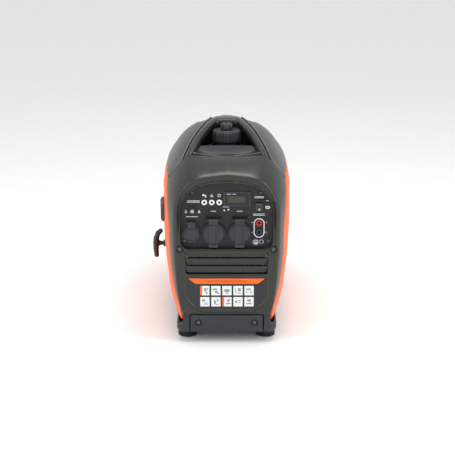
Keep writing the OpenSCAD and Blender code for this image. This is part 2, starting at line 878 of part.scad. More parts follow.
module ground_terminal() {
  color("silver") {
    rod_y(ground[0], ground[1], panel_y - 12, 30, ground_d);
    rod_y(ground[0], ground[1], panel_y - 1.2, 1.2, 14, 32);
    rod_y(ground[0], ground[1], panel_y - 6.2, 5, 11.5, 6);
  }
}

module label_plate() {
  color("white") box_at(-85.7, 85.7, front_y + 0.2, front_y + 0.99, 82.3, 149.7);
}

// Engine switch dial on the left side
dial_face_x = -half_w - 1.5;

module dial_plate() {
  color(charcoal)
  difference() {
    union() {
      rod_x(dial_y, dial_z, -half_w + 1, 22, dial_d + 5.4);
    }
    rod_x(dial_y, dial_z, -half_w, 18, dial_d + 1);
    rod_x(dial_y, dial_z, -half_w, 40, 10 + 2 * running);
  }
}

module engine_dial() {
  color(charcoal) {
    rod_x(dial_y, dial_z, -half_w + 3, 12, dial_d);
    box_at(dial_face_x, -half_w + 4, dial_y - 5, dial_y + 5, dial_z - 23, dial_z + 23);
    rod_x(dial_y, dial_z, -half_w + 14, 14, 10);
  }
}

// Starter: grip, guide, rope, pulley and housing
grip_x = -half_w - grip_out;
guide_x = -half_w - 2;

module starter_grip() {
  grip_r = 78;
  color(black)
  difference() {
    union() {
      // Bowed bar
      intersection() {
        translate([grip_x + grip_r, rope_exit_y + 9, rope_z]) rotate([90, 0, 0])
          cylinder(h = 18, r = grip_r, $fn = 96);
        box_at(grip_x - 1, grip_x + 20, rope_exit_y - 10, rope_exit_y + 10, rope_z - 35, rope_z + 35);
        difference() {
          box_at(grip_x - 1, grip_x + 30, rope_exit_y - 10, rope_exit_y + 10, rope_z - 40, rope_z + 40);
          translate([grip_x + grip_r + 2, rope_exit_y + 11, rope_z]) rotate([90, 0, 0])
            cylinder(h = 22, r = grip_r - 9, $fn = 96);
        }
      }
      rod_x(rope_exit_y, rope_z, grip_x + 5, guide_x - grip_x - 5 - fit, 13);
    }
    rod_x(rope_exit_y, rope_z, grip_x + 8, 40, rope_d + 0.6, 32);
  }
}

module rope_guide() {
  color(black)
  difference() {
    union() {
      rod_x(rope_exit_y, rope_z, guide_x, 13.6, guide_d);
      rod_x(rope_exit_y, rope_z, guide_x + wall + 8, 2.5, guide_d + 6);
    }
    rod_x(rope_exit_y, rope_z, guide_x - 1, 20, rope_d + 1, 32);
  }
}

pulley_x = -half_w + 29;
rope_bend_r = 12;

// Rope from the grip, through the guide, round to the pulley and once round it
module starter_rope() {
  color("white") {
    rod_x(rope_exit_y, rope_z, grip_x + 9, pulley_x - rope_bend_r - grip_x - 9, rope_d, 24);
    translate([pulley_x - rope_bend_r, rope_exit_y + rope_bend_r, rope_z])
      rotate([0, 0, -90]) rotate_extrude(angle = 90, $fn = 48)
        translate([rope_bend_r, 0]) circle(d = rope_d, $fn = 24);
    rod_y(pulley_x, rope_z, rope_exit_y + rope_bend_r, crank_y - rope_exit_y - rope_bend_r, rope_d, 24);
    translate([pulley_x, crank_y, crank_z]) rotate([0, 90, 0])
      rotate_extrude($fn = 96) translate([rope_r, 0]) circle(d = rope_d, $fn = 24);
  }
}

post_d = 12;

module starter_pulley() {
  color(charcoal)
  difference() {
    union() {
      rod_x(crank_y, crank_z, pulley_x - 5, 10, 2 * (rope_r - rope_d / 2 - fit));
      for (s = [-1, 1])
        rod_x(crank_y, crank_z, pulley_x + s * 4 - 1, 2, 2 * rope_r + 6);
    }
    rod_x(crank_y, crank_z, pulley_x - 9, 18, post_d + 2 * running);
  }
}

housing_x0 = -half_w + 17;
housing_d = 140;

module starter_housing() {
  color(charcoal)
  difference() {
    union() {
      rod_x(crank_y, crank_z, housing_x0, 26, housing_d);
      rod_x(crank_y, crank_z, housing_x0 + 23, 3, fan_d + 14);
      // Rope inlet
      box_at(housing_x0, pulley_x + 9, rope_exit_y - 4, crank_y - 40, rope_z - 8, rope_z + 8);
    }
    difference() {
      rod_x(crank_y, crank_z, housing_x0 + 3, 30, housing_d - 6);
      rod_x(crank_y, crank_z, housing_x0, pulley_x + 7 - housing_x0, post_d);
    }
    box_at(housing_x0 + 2, pulley_x + 6, rope_exit_y - 1, crank_y - 20, rope_z - 5, rope_z + 5);
    rod_x(rope_exit_y, rope_z, housing_x0 - 1, 20, rope_d + 2, 32);
  }
}

fan_d = 142;
fan_x0 = -104;
shaft_d = 20;

module crankshaft() {
  color(steel) {
    rod_x(crank_y, crank_z, fan_x0 + 2, 150, shaft_d);
    // Crank webs inside the block
    for (x = [-16, 8]) rod_x(crank_y, crank_z, x, 10, 62);
  }
}

module flywheel_fan() {
  color(steel)
  difference() {
    union() {
      rod_x(crank_y, crank_z, fan_x0 + 8, 38, 122);
      rod_x(crank_y, crank_z, fan_x0 + 8, 3, fan_d);
      for (i = [0:13]) translate([fan_x0 + 8, crank_y, crank_z]) rotate([26 * i, 0, 0])
        translate([0, 58, -1.2]) cube([18, fan_d / 2 - 59, 2.4]);
    }
    rod_x(crank_y, crank_z, fan_x0 + 14, 40, 110);
    rod_x(crank_y, crank_z, fan_x0, 30, shaft_d + 2 * running);
  }
}

module stator() {
  color("#9a5a2c")
  difference() {
    union() {
      rod_x(crank_y, crank_z, fan_x0 + 18, 24, 70);
      for (i = [0:11]) translate([fan_x0 + 18, crank_y, crank_z]) rotate([30 * i, 0, 0])
        translate([0, 30, -5]) cube([24, 22, 10]);
    }
    rod_x(crank_y, crank_z, fan_x0 + 10, 40, 46);
  }
}

block_x0 = -52;
block_x1 = 48;
oil_x = -28;
oil_z = 84;
oil_plug_d = 18;

module engine_block() {
  color("#8f9294")
  difference() {
    union() {
      rod_x(crank_y, crank_z, block_x0, block_x1 - block_x0, 128);
      // Boss that carries the stator
      rod_x(crank_y, crank_z, fan_x0 + 18, block_x0 - fan_x0 - 17, 46 - 0.2);
      // Cylinder barrel with fins, leaning back
      translate([0, crank_y, crank_z]) rotate([25, 0, 0]) {
        rod_y(0, 0, 40, 66, 66);
        for (i = [0:5]) rod_y(0, 0, 66 + 7 * i, 3, 92, 32);
      }
      box_at(block_x0 + 8, block_x1 - 8, crank_y - 48, crank_y + 48, body_clear + 22, crank_z - 40);
    }
    rod_x(crank_y, crank_z, fan_x0, block_x1 - fan_x0 + 9, shaft_d + 2 * running);
    box_at(-20, 22, crank_y - 34, crank_y + 34, crank_z - 34, crank_z + 34);
    translate([0, crank_y, crank_z]) rotate([25, 0, 0]) rod_y(0, 0, 30, 90, 44);
    rod_y(oil_x, oil_z, crank_y - 49, 13, oil_plug_d + 2 * running);
  }
}

module cylinder_head() {
  color("#8f9294")
  translate([0, crank_y, crank_z]) rotate([25, 0, 0])
  difference() {
    union() {
      box_at(-38, 38, 106.2, 128, -38, 38);
      box_at(-30, 30, 127, 140, -30, 30);
    }
    translate([46, 120, 0]) rotate([0, -90, 0]) cylinder(h = 40, d = 10);
  }
}

module spark_plug() {
  color("white")
  translate([0, crank_y, crank_z]) rotate([25, 0, 0]) translate([0, 120, 0]) rotate([0, 90, 0]) {
    translate([0, 0, 8]) cylinder(h = 30, d = 9.8);
    translate([0, 0, 38.2]) cylinder(h = 6, d = 16, $fn = 6);
    translate([0, 0, 44]) cylinder(h = 34, d = 15);
  }
}

module fan_shroud() {
  color(black)
  difference() {
    rod_x(crank_y, crank_z, housing_x0 + 26 + fit, block_x0 - housing_x0 - 26 - 2 * fit, fan_d + 14);
    rod_x(crank_y, crank_z, fan_x0, block_x0 - fit - 3 - fan_x0, fan_d + 6);
    rod_x(crank_y, crank_z, fan_x0, 70, fan_d - 30);
    // Open towards the cylinder
    box_at(fan_x0, block_x0, crank_y + 40, crank_y + 99, crank_z - 20, crank_z + 60);
  }
}

muffler_y0 = crank_y + 152;

module muffler() {
  // Header pipe up to the exhaust port under the cylinder head
  header_y = crank_y + 127;
  color(steel)
  difference() {
    union() {
      box_at(-40, 88, muffler_y0, rear_y - 22, 92, 186);
      box_at(-12, 12, header_y - 12, muffler_y0 + 1, 166, 182);
      translate([0, header_y, 166]) cylinder(h = crank_z + 11.5 - 166, d = 24);
    }
    box_at(-38, 86, muffler_y0 + 2, rear_y - 24, 94, 184);
    rod_y(exhaust_x, exhaust_z, rear_y - 40, 30, exhaust_d);
  }
}

module exhaust_outlet() {
  color(steel)
  difference() {
    union() {
      rod_y(exhaust_x, exhaust_z, rear_y - 30, 30 - fit, exhaust_d - 0.2);
      rod_y(exhaust_x, exhaust_z, rear_y - 21.7, 3, exhaust_d + 12);
    }
    rod_y(exhaust_x, exhaust_z, rear_y - 31, 40, exhaust_d - 6);
  }
}

module carburettor() {
  color(steel)
  difference() {
    union() {
      rod_x(crank_y - 6, crank_z + 84, 50, 34, 34);
      box_at(block_x1 + fit, 78, crank_y - 24, crank_y + 12, crank_z + 46, crank_z + 84);
    }
    rod_x(crank_y - 6, crank_z + 84, 40, 60, 18);
  }
}

module air_filter() {
  color(black)
  difference() {
    box_at(84.3, 124, crank_y - 90, crank_y + 20, crank_z - 30, crank_z + 74);
    box_at(87, 121, crank_y - 87, crank_y + 17, crank_z - 27, crank_z + 71);
  }
}

module inverter_module() {
  color("#8f9294") {
    box_at(-84, 84, front_y + 52, front_y + 96, 78, 188);
    for (i = [0:16]) box_at(-82 + 10 * i, -79 + 10 * i, front_y + 26, front_y + 52, 78, 188);
    // Brackets down to the tray
    for (s = [-1, 1])
      box_at(s * 60 - 12, s * 60 + 12, front_y + 60, front_y + 88, body_clear + 4 + fit, 79);
  }
}

module oil_filler_cap() {
  color("#e8641e") {
    rod_y(oil_x, oil_z, crank_y - 48 - fit - 9, 9, oil_plug_d + 10, 32);
    rod_y(oil_x, oil_z, crank_y - 48 - fit - 1, 12, oil_plug_d, 48);
  }
}

module engine_mounts() {
  color(black)
  for (x = [-30, 30], y = [-34, 34])
    translate([x, crank_y + y, body_clear + 4]) cylinder(h = 18, d = 26);
}

tray_front = front_y + 16;
tray_rear = rear_y - 16;
leg_z1 = cover_z0 - seam;

module base_tray() {
  color(trim_colour)
  difference() {
    union() {
      box_at(-98, 98, tray_front, tray_rear, body_clear, body_clear + 4);
      // Corner legs over the feet
      for (sx = [-1, 1], sy = [-1, 1])
        translate([sx * foot_pitch_x / 2, sy * foot_pitch_y / 2, 0]) {
          translate([0, 0, foot_h]) cylinder(h = body_clear - foot_h + 4, d = foot_d + 3);
        }
      for (sx = [-1, 1]) {
        box_at(sx * 96 - 2, sx * 96 + 2, tray_front, tray_rear, body_clear, side_z0 - seam);
        for (sy = [-1, 1])
          box_at(sx * 92 - 12, sx * 92 + 9, sy * (half_l - 16) - 12, sy * (half_l - 16) + 12,
            body_clear, side_z0 + 8);
      }
      box_at(-skirt_half_w, skirt_half_w, tray_rear - 1, tray_rear + 9, body_clear, leg_z1);
      // Bosses for the skirt's screws, and a rear wall
      for (s = [-1, 1]) box_at(s * skirt_screw[0] - 9, s * skirt_screw[0] + 9, front_y + 14, front_y + 22,
        body_clear, skirt_screw[1] + 9);
      box_at(-98, 98, tray_rear - 3, tray_rear, body_clear, leg_z1);
    }
    for (s = [-1, 1]) rod_y(s * skirt_screw[0], skirt_screw[1], front_y, 40, 4, 24);
  }
}

module rubber_feet() {
  color(black)
  for (sx = [-1, 1], sy = [-1, 1])
    translate([sx * foot_pitch_x / 2, sy * foot_pitch_y / 2, 0])
      cylinder(h = foot_h, d = foot_d);
}

placed() base_tray();
placed() rubber_feet();
placed() front_cover();
placed() front_louvers();
placed() front_skirt();
placed() rear_cover();
placed() left_cover();
placed() right_cover();
placed() top_cover();
placed() filler_deck();
placed() carry_handle();
placed() fuel_tank();
placed() filler_neck();
placed() fuel_cap();
placed() cap_insert();
placed() vent_knob();
placed() control_panel();
placed() panel_screws();
placed() cover_screws();
placed() meter();
placed() indicator_lights();
placed() breaker_collar();
placed() breaker_button();
placed() dc_socket();
placed() dc_flap();
placed() mains_socket(-socket_x);  // socket_left
placed() mains_socket(socket_x);  // socket_right
placed() socket_flap(-socket_x);  // socket_flap_left
placed() socket_flap(socket_x);  // socket_flap_right
placed() rocker_frame();
placed() rocker_switch();
placed() terminal_ring();
placed() parallel_jacks();
placed() ground_terminal();
placed() label_plate();
placed() engine_dial();
placed() dial_plate();
placed() starter_grip();
placed() rope_guide();
placed() starter_rope();
placed() starter_housing();
placed() starter_pulley();
placed() engine_block();
placed() cylinder_head();
placed() spark_plug();
placed() crankshaft();
placed() flywheel_fan();
placed() stator();
placed() fan_shroud();
placed() muffler();
placed() exhaust_outlet();
placed() carburettor();
placed() air_filter();
placed() inverter_module();
placed() oil_filler_cap();
placed() engine_mounts();
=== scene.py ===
"""Looks of the portable inverter generator, around its CAD frame. Metres, +Z up, panel towards -Y."""

import math

import bmesh
import bpy
import numpy as np
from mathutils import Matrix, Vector


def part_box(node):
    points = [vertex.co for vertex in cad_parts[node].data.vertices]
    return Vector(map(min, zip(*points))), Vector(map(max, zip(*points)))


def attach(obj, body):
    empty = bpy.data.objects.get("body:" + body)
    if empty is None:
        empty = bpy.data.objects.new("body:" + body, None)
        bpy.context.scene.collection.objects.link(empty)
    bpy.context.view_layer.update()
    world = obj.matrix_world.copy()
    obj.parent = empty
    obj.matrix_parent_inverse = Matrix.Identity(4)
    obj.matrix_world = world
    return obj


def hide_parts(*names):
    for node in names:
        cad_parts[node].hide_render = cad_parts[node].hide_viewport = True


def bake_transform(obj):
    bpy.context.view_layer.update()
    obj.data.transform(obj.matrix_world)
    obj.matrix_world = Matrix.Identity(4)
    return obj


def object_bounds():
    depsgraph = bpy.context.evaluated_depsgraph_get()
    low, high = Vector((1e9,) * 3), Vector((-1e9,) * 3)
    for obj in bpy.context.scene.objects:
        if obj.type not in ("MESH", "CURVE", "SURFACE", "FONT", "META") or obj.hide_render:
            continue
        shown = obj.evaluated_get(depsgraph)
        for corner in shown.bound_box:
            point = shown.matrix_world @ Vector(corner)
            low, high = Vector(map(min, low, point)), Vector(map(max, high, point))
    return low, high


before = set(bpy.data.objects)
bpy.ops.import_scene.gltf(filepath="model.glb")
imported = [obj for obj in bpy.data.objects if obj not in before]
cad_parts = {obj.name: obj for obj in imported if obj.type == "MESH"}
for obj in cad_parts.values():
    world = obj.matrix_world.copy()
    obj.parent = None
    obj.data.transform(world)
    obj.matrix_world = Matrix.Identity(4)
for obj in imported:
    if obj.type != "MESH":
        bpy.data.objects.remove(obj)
cad_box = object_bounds()

MM = 0.001


# ---- driving places, from the frame
side_low, side_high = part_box("right_cover")
left_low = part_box("left_cover")[0]
front_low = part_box("front_cover")[0]
rear_low, rear_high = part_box("rear_cover")
MID_X = (left_low[0] + side_high[0]) / 2
FRONT, REAR = front_low[1], rear_high[1]
HALF_L = (REAR - FRONT) / 2
HALF_W = (side_high[0] - left_low[0]) / 2
TOP = float(cad_box[1][2])
SIDE_Z0, SIDE_Z1 = side_low[2], side_high[2]
WAIST = SIDE_Z1 - 82 * MM
BELLY = WAIST * 1.185
COVER_Z0 = front_low[2]
FRONT_SEAM, REAR_SEAM = FRONT + 78 * MM, rear_low[1]
SECTION_N, PLAN_N, PLAN_OVER = 2.5, 3.0, 54 * MM
ROOF_DROP, REAR_DROP = 75 * MM, 100 * MM
ROOF_FRONT, ROOF_REAR = FRONT + 235 * MM, FRONT + 245 * MM
SEAM = 0.8 * MM
ARM_W, ARM_X0, ARM_X1 = 20 * MM, 92 * MM, 26 * MM
NECK = FRONT + 235 * MM
DISH_REAR = FRONT + 128 * MM
WELL_Z = TOP - 69 * MM
PANEL_Z0, PANEL_H, PANEL_HALF = 214 * MM, 145 * MM, 98 * MM
PANEL_Y = FRONT + 16 * MM
FRONT_SWEEP = 118 * MM  # how far back the front cover reaches at the top of the side covers
SLAT_HALF = 90 * MM
SKIRT_HALF = 79 * MM
FACE_SCREW_X, FACE_SCREW_Z = 100 * MM, PANEL_Z0 + 1 * MM
SKIRT_SCREW_X, SKIRT_SCREW_Z = 61 * MM, 47 * MM
FOOT_X, FOOT_Y = 86.5 * MM, 200 * MM


# ---- shapes as distance fields
def smax(a, b, k):
    """Smooth maximum: a rounded edge of about radius k."""
    h = np.clip(0.5 + 0.5 * (a - b) / k, 0, 1)
    return b + (a - b) * h + k * h * (1 - h)


def smin(a, b, k):
    return -smax(-a, -b, k)


def roof(y):
    front = np.clip((ROOF_FRONT - y) / (ROOF_FRONT - FRONT), 0, 1.2)
    rear = np.clip((y - ROOF_REAR) / (REAR - ROOF_REAR), 0, 1.2)
    return TOP - ROOF_DROP * front**2 - REAR_DROP * rear**1.5


def half_width(y):
    return HALF_W * (1 - np.clip(np.abs(y) / (HALF_L + PLAN_OVER), 0, 0.999) ** PLAN_N) ** (1 / PLAN_N)


def body(x, y, z, inset=0.0):
    """The smooth outer form: a superellipse section; its width follows the plan and its crest the roof."""
    w = half_width(y) - inset
    up = roof(y) - WAIST - inset
    h = np.where(z > WAIST, up, BELLY - inset)
    u = np.abs(x) / w
    v = np.abs(z - WAIST) / h
    r = (u**SECTION_N + v**SECTION_N + 1e-9) ** (1 / SECTION_N)
    gx = (u ** (SECTION_N - 1)) / w
    gz = (v ** (SECTION_N - 1)) / h
    grad = np.sqrt(gx**2 + gz**2) / r ** (SECTION_N - 1) + 1e-6
    side = (r - 1) / np.maximum(grad, 2.0)
    ends = np.maximum(FRONT + inset - y, y - REAR + inset)
    return smax(side, ends, 9 * MM)


def box_d(x, y, z, lo, hi, k=0.0):
    d = [np.maximum(lo[i] - c, c - hi[i]) for i, c in enumerate((x, y, z))]
    out = np.maximum(d[0], d[1]) if k == 0 else smax(d[0], d[1], k)
    return np.maximum(out, d[2]) if k == 0 else smax(out, d[2], k)


def polygon_d(px, py, points):
    """Signed distance to a closed outline, negative inside."""
    best = np.full(np.broadcast(px, py).shape, 1e9)
    inside = np.zeros(best.shape, bool)
    n = len(points)
    for i in range(n):
        (ax, ay), (bx, by) = points[i], points[(i + 1) % n]
        ex, ey = bx - ax, by - ay
        wx, wy = px - ax, py - ay
        t = np.clip((wx * ex + wy * ey) / (ex * ex + ey * ey + 1e-12), 0, 1)
        best = np.minimum(best, (wx - ex * t) ** 2 + (wy - ey * t) ** 2)
        cross = (ay <= py) != (by <= py)
        with np.errstate(divide="ignore", invalid="ignore"):
            at = ax + (py - ay) / (by - ay if by != ay else 1e-12) * ex
        inside ^= cross & (px < at)
    return np.sqrt(best) * np.where(inside, -1, 1)


def arch_d(x, z, half, z0, z_wide, z1, corner):
    """Outline with straight sides, a superellipse top and rounded lower corners, in a plane."""
    u = np.abs(x) / half
    v = np.clip((z - z_wide) / (z1 - z_wide), 0, None)
    r = (u**SECTION_N + v**SECTION_N + 1e-9) ** (1 / SECTION_N)
    grad = np.sqrt((u ** (SECTION_N - 1) / half) ** 2 + (v ** (SECTION_N - 1) / (z1 - z_wide)) ** 2)
    top = (r - 1) / np.maximum(grad / r ** (SECTION_N - 1), 2.0)
    qx, qz = np.abs(x) - half + corner, z0 + corner - z
    low = np.hypot(np.maximum(qx, 0), np.maximum(qz, 0)) + np.minimum(np.maximum(qx, qz), 0) - corner
    return np.where(z > z_wide, top, low)


def side_outline(g):
    """Side view outline of a side cover, grown by g, as (y, z). Its front edge sweeps back under the roof."""
    low = [(30, WAIST - 90 * MM), (24, SIDE_Z0 + 78 * MM), (10, SIDE_Z0 + 40 * MM), (10, SIDE_Z0 + 20 * MM),
           (24, SIDE_Z0 - g)]
    sweep = [(118, SIDE_Z1 + g), (99, SIDE_Z1 - 6 * MM), (82, SIDE_Z1 - 16 * MM + g), (64, SIDE_Z1 - 31 * MM),
             (48, SIDE_Z1 - 50 * MM), (36, SIDE_Z1 - 74 * MM), (30, SIDE_Z1 - 100 * MM)]
    return [(FRONT + d * MM - g, z) for d, z in sweep + low] + [
        (REAR - d * MM + g, z) for d, z in ([(30, SIDE_Z1 + g)] + low)[::-1]]


def arm_x(y):
    return ARM_X0 - (ARM_X0 - ARM_X1) * (y - FRONT - 60 * MM) / (NECK - FRONT - 60 * MM)


def arm_inner(y):
    return arm_x(y) - ARM_W / 2


def forehead_z(y):
    """Height of the forehead between the arms."""
    t = np.clip((y - FRONT) / (FRONT_SEAM - FRONT), 0, 1)
    return TOP - 79 * MM + 26 * MM * np.sin(t * math.pi / 2) ** 0.8


# ---- surface nets: a field to a smooth mesh
def surface_nets(field, lo, hi, h, name, steps=2, even=4):
    counts = [max(3, int(math.ceil((hi[i] - lo[i]) / h)) + 1) for i in range(3)]
    axes = [lo[i] + h * np.arange(counts[i]) for i in range(3)]
    x, y, z = np.meshgrid(*axes, indexing="ij")
    f = field(x, y, z).astype(np.float32)
    for i in range(3):
        edge = [slice(None)] * 3
        for side in (0, -1):
            edge[i] = side
            f[tuple(edge)] = np.maximum(f[tuple(edge)], 1e-5)
    inside = f < 0
    corners = [(i, j, k) for i in (0, 1) for j in (0, 1) for k in (0, 1)]

    def part(a, c):
        return a[tuple(slice(o, a.shape[n] - 1 + o) for n, o in enumerate(c))]

    total = sum(part(inside, c).astype(np.int8) for c in corners)
    active = (total > 0) & (total < 8)
    index = -np.ones(active.shape, np.int64)
    index[active] = np.arange(active.sum())
    where = np.argwhere(active)
    sums = np.zeros((len(where), 3))
    hits = np.zeros(len(where))
    for a in corners:
        for n in range(3):
            if a[n]:
                continue
            b = tuple(1 if m == n else a[m] for m in range(3))
            fa = f[tuple((where + a).T)]
            fb = f[tuple((where + b).T)]
            cut = (fa < 0) != (fb < 0)
            t = np.where(cut, fa / np.where(cut, fa - fb, 1), 0)
            point = np.array(a, float)[None] + t[:, None] * np.eye(3)[n][None]
            sums[cut] += point[cut]
            hits += cut
    verts = np.array(lo) + h * (where + sums / hits[:, None])
    quads = []
    for n in range(3):
        a = [slice(None)] * 3
        b = [slice(None)] * 3
        a[n], b[n] = slice(0, -1), slice(1, None)
        sa, sb = inside[tuple(a)], inside[tuple(b)]
        cut = np.argwhere(sa != sb)
        u, v = [m for m in range(3) if m != n]
        low_side = (cut[:, u] > 0) & (cut[:, v] > 0)
        keep = low_side & (cut[:, u] < f.shape[u] - 1) & (cut[:, v] < f.shape[v] - 1)
        cut = cut[keep]
        ring = []
        for du, dv in ((-1, -1), (0, -1), (0, 0), (-1, 0)):
            c = cut.copy()
            c[:, u] += du
            c[:, v] += dv
            ring.append(index[tuple(c.T)])
        ring = np.stack(ring, 1)
        flip = sa[tuple(cut.T)] ^ (n == 1)
        ring[~flip] = ring[~flip][:, ::-1]
        quads.append(ring)
    quads = np.concatenate(quads)
    quads = quads[(quads >= 0).all(1)]
    start = verts.copy()
    eps = 0.25 * h
    pairs = np.concatenate([quads[:, [i, (i + 1) % 4]] for i in range(4)])
    pairs = np.concatenate([pairs, pairs[:, ::-1]])
    degree = np.bincount(pairs[:, 0], minlength=len(verts))[:, None] + 1e-9
    for step in range(steps + even):
        if step < even:
            mean = np.stack([np.bincount(pairs[:, 0], verts[pairs[:, 1], n], len(verts)) for n in range(3)],
                            1) / degree
            verts = verts + 0.55 * (mean - verts)
        p = verts.T
        value = field(*p)
        g = np.stack([field(*(p + eps * np.eye(3)[n][:, None])) - value for n in range(3)], 1) / eps
        size = np.maximum((g**2).sum(1), 0.2)
        verts = verts - np.clip(value / size, -0.5 * h, 0.5 * h)[:, None] * g
        shift = verts - start
        far = np.linalg.norm(shift, axis=1)
        verts = start + shift * np.minimum(1, 0.9 * h / np.maximum(far, 1e-9))[:, None]
    return mesh_object(name, verts, quads, angle=180)


def mesh_object(name, verts, faces, smooth=True, angle=38):
    mesh = bpy.data.meshes.new(name)
    verts = np.asarray(verts, float)
    if isinstance(faces, np.ndarray):
        mesh.vertices.add(len(verts))
        mesh.vertices.foreach_set("co", verts.ravel())
        n = faces.shape[1]
        mesh.loops.add(faces.size)
        mesh.loops.foreach_set("vertex_index", faces.ravel())
        mesh.polygons.add(len(faces))
        mesh.polygons.foreach_set("loop_start", np.arange(len(faces)) * n)
        mesh.update(calc_edges=True)
        mesh.validate()
    else:
        mesh.from_pydata([tuple(v) for v in verts], [], faces)
    ob = bpy.data.objects.new(name, mesh)
    bpy.context.scene.collection.objects.link(ob)
    if smooth:
        mesh.shade_smooth()
        mesh.set_sharp_from_angle(angle=math.radians(angle))
    return ob


# ---- materials
def hex_rgb(code):
    code = code.lstrip("#")
    srgb = [int(code[i : i + 2], 16) / 255 for i in (0, 2, 4)]
    return tuple(c / 12.92 if c <= 0.04045 else ((c + 0.055) / 1.055) ** 2.4 for c in srgb) + (1.0,)


def material(name, colour, second=None, rough=(0.4, 0.55), grain=900.0, bump=0.12, depth=0.00008, cloud=14.0,
             metallic=0.0, coat=0.0, spec=0.5, stretch=None, edge_highlight=None):
    """A moulded or machined finish: two drifting shades, fine grain, varying roughness and pale edges that are
    a painted highlight.
    """
    mat = bpy.data.materials.new(name)
    mat.use_nodes = True
    nodes, links = mat.node_tree.nodes, mat.node_tree.links
    shader = nodes["Principled BSDF"]
    shader.inputs["Metallic"].default_value = metallic
    shader.inputs["Coat Weight"].default_value = coat
    shader.inputs["Coat Roughness"].default_value = 0.12
    shader.inputs["Specular IOR Level"].default_value = spec
    place = nodes.new("ShaderNodeTexCoord")
    source = place.outputs["Object"]
    if stretch:
        mapping = nodes.new("ShaderNodeMapping")
        mapping.inputs["Scale"].default_value = stretch
        links.new(source, mapping.inputs["Vector"])
        source = mapping.outputs["Vector"]

    def noise(scale, detail):
        node = nodes.new("ShaderNodeTexNoise")
        node.inputs["Scale"].default_value = scale
        node.inputs["Detail"].default_value = detail
        links.new(source, node.inputs["Vector"])
        return node.outputs["Fac"]

    clouds = noise(cloud, 4)
    fine = noise(grain, 2)
    mix = nodes.new("ShaderNodeMix")
    mix.data_type = "RGBA"
    first = hex_rgb(colour)
    mix.inputs["A"].default_value = first
    mix.inputs["B"].default_value = hex_rgb(second) if second else tuple(c * 0.82 for c in first[:3]) + (1,)
    links.new(clouds, mix.inputs["Factor"])
    out = mix.outputs["Result"]
    # Pale colour on convex edges, found by pointiness: a painted highlight along the edges.
    if edge_highlight:
        geometry = nodes.new("ShaderNodeNewGeometry")
        ramp = nodes.new("ShaderNodeMapRange")
        ramp.inputs["From Min"].default_value = 0.54
        ramp.inputs["From Max"].default_value = 0.66
        ramp.inputs["To Max"].default_value = 0.35
        links.new(geometry.outputs["Pointiness"], ramp.inputs["Value"])
        edge = nodes.new("ShaderNodeMix")
        edge.data_type = "RGBA"
        edge.inputs["B"].default_value = hex_rgb(edge_highlight)
        links.new(ramp.outputs["Result"], edge.inputs["Factor"])
        links.new(out, edge.inputs["A"])
        out = edge.outputs["Result"]
    links.new(out, shader.inputs["Base Color"])
    spread = nodes.new("ShaderNodeMapRange")
    spread.inputs["To Min"].default_value = rough[0]
    spread.inputs["To Max"].default_value = rough[1]
    links.new(clouds, spread.inputs["Value"])
    links.new(spread.outputs["Result"], shader.inputs["Roughness"])
    if bump:
        node = nodes.new("ShaderNodeBump")
        node.inputs["Strength"].default_value = bump
        node.inputs["Distance"].default_value = depth
        links.new(fine, node.inputs["Height"])
        links.new(node.outputs["Normal"], shader.inputs["Normal"])
    return mat


# The pale edge colours given below are painted highlights on convex edges.
SHELL = material("shell_plastic", "#24271f", "#1e211b", rough=(0.25, 0.36), grain=1500, bump=0.25,
                 edge_highlight="#565a53")
TRIM = material("trim_plastic", "#22272c", "#1d2126", rough=(0.34, 0.46), grain=1500, bump=0.25,
                edge_highlight="#4d545b")
ORANGE = material("orange_plastic", "#f2650f", "#ea5a0a", rough=(0.38, 0.5), grain=1300, bump=0.15, spec=0.3,
                  edge_highlight="#ff8a45")
PANEL = material("panel_plastic", "#0f1011", "#0b0c0d", rough=(0.42, 0.6), grain=2600, bump=0.5,
                 depth=0.00012)
LID = material("lid_plastic", "#292c31", "#23262a", rough=(0.34, 0.48), grain=2000, bump=0.3, edge_highlight="#5d6168")
DISH = material("dish_plastic", "#1a2027", "#12171c", rough=(0.16, 0.3), grain=1200, bump=0.12, coat=0.3)
RUBBER = material("foot_rubber", "#16171a", "#101113", rough=(0.62, 0.8), grain=1100, bump=0.5, depth=0.00015)
GRIP = material("grip_plastic", "#1b1312", "#120c0b", rough=(0.22, 0.34), grain=900, bump=0.15, coat=0.2)
STEEL = material("brushed_steel", "#b9bcc0", "#9b9ea3", rough=(0.2, 0.36), grain=500, bump=0.2, metallic=1.0,
                 stretch=(1, 14, 1))
CHROME = material("chrome_ring", "#d8dadd", "#c4c7cb", rough=(0.06, 0.14), grain=400, bump=0.03, metallic=1.0)
CASTING = material("cast_alloy", "#8d9092", "#6f7274", rough=(0.45, 0.65), grain=420, bump=0.6, depth=0.0003,
                   metallic=0.8)
WINDING = material("copper_winding", "#a4592a", "#7c3d1a", rough=(0.3, 0.45), grain=300, bump=0.5,
                   metallic=0.9,
                   stretch=(1, 1, 8))
ROPE = material("rope_fibre", "#2b2c2f", "#55585e", rough=(0.7, 0.9), grain=800, bump=0.8, depth=0.0004,
                cloud=420)
CERAMIC = material("ceramic_white", "#e9e6df", "#dcd8cf", rough=(0.16, 0.26), grain=300, bump=0.05, coat=0.4)
WHITE = material("printed_white", "#e4e6e6", "#d3d6d7", rough=(0.4, 0.55), grain=900, bump=0.08, cloud=60)
INK = material("printed_black", "#26282b", "#1b1c1f", rough=(0.45, 0.6), grain=900, bump=0.08, cloud=60)
LABEL = material("label_film", "#1c1e21", "#17191b", rough=(0.3, 0.42), grain=700, bump=0.1, cloud=30)
CHAR_SEGMENT = material("display_segments", "#3c4233", "#343a2c", rough=(0.2, 0.3), grain=300, bump=0.02)
STEEL_DARK = material("screw_steel", "#7b7e82", "#5f6266", rough=(0.28, 0.42), grain=500, bump=0.15,
                      metallic=0.9)
PICTURE = material("picture_grey", "#8f9496", "#7c8183", rough=(0.4, 0.55), grain=900, bump=0.05, cloud=60)
RUBBER_GLOSS = material("cap_plastic", "#26282c", "#1c1e21", rough=(0.3, 0.45), grain=1500, bump=0.3,
                        edge_highlight="#5a5e63")
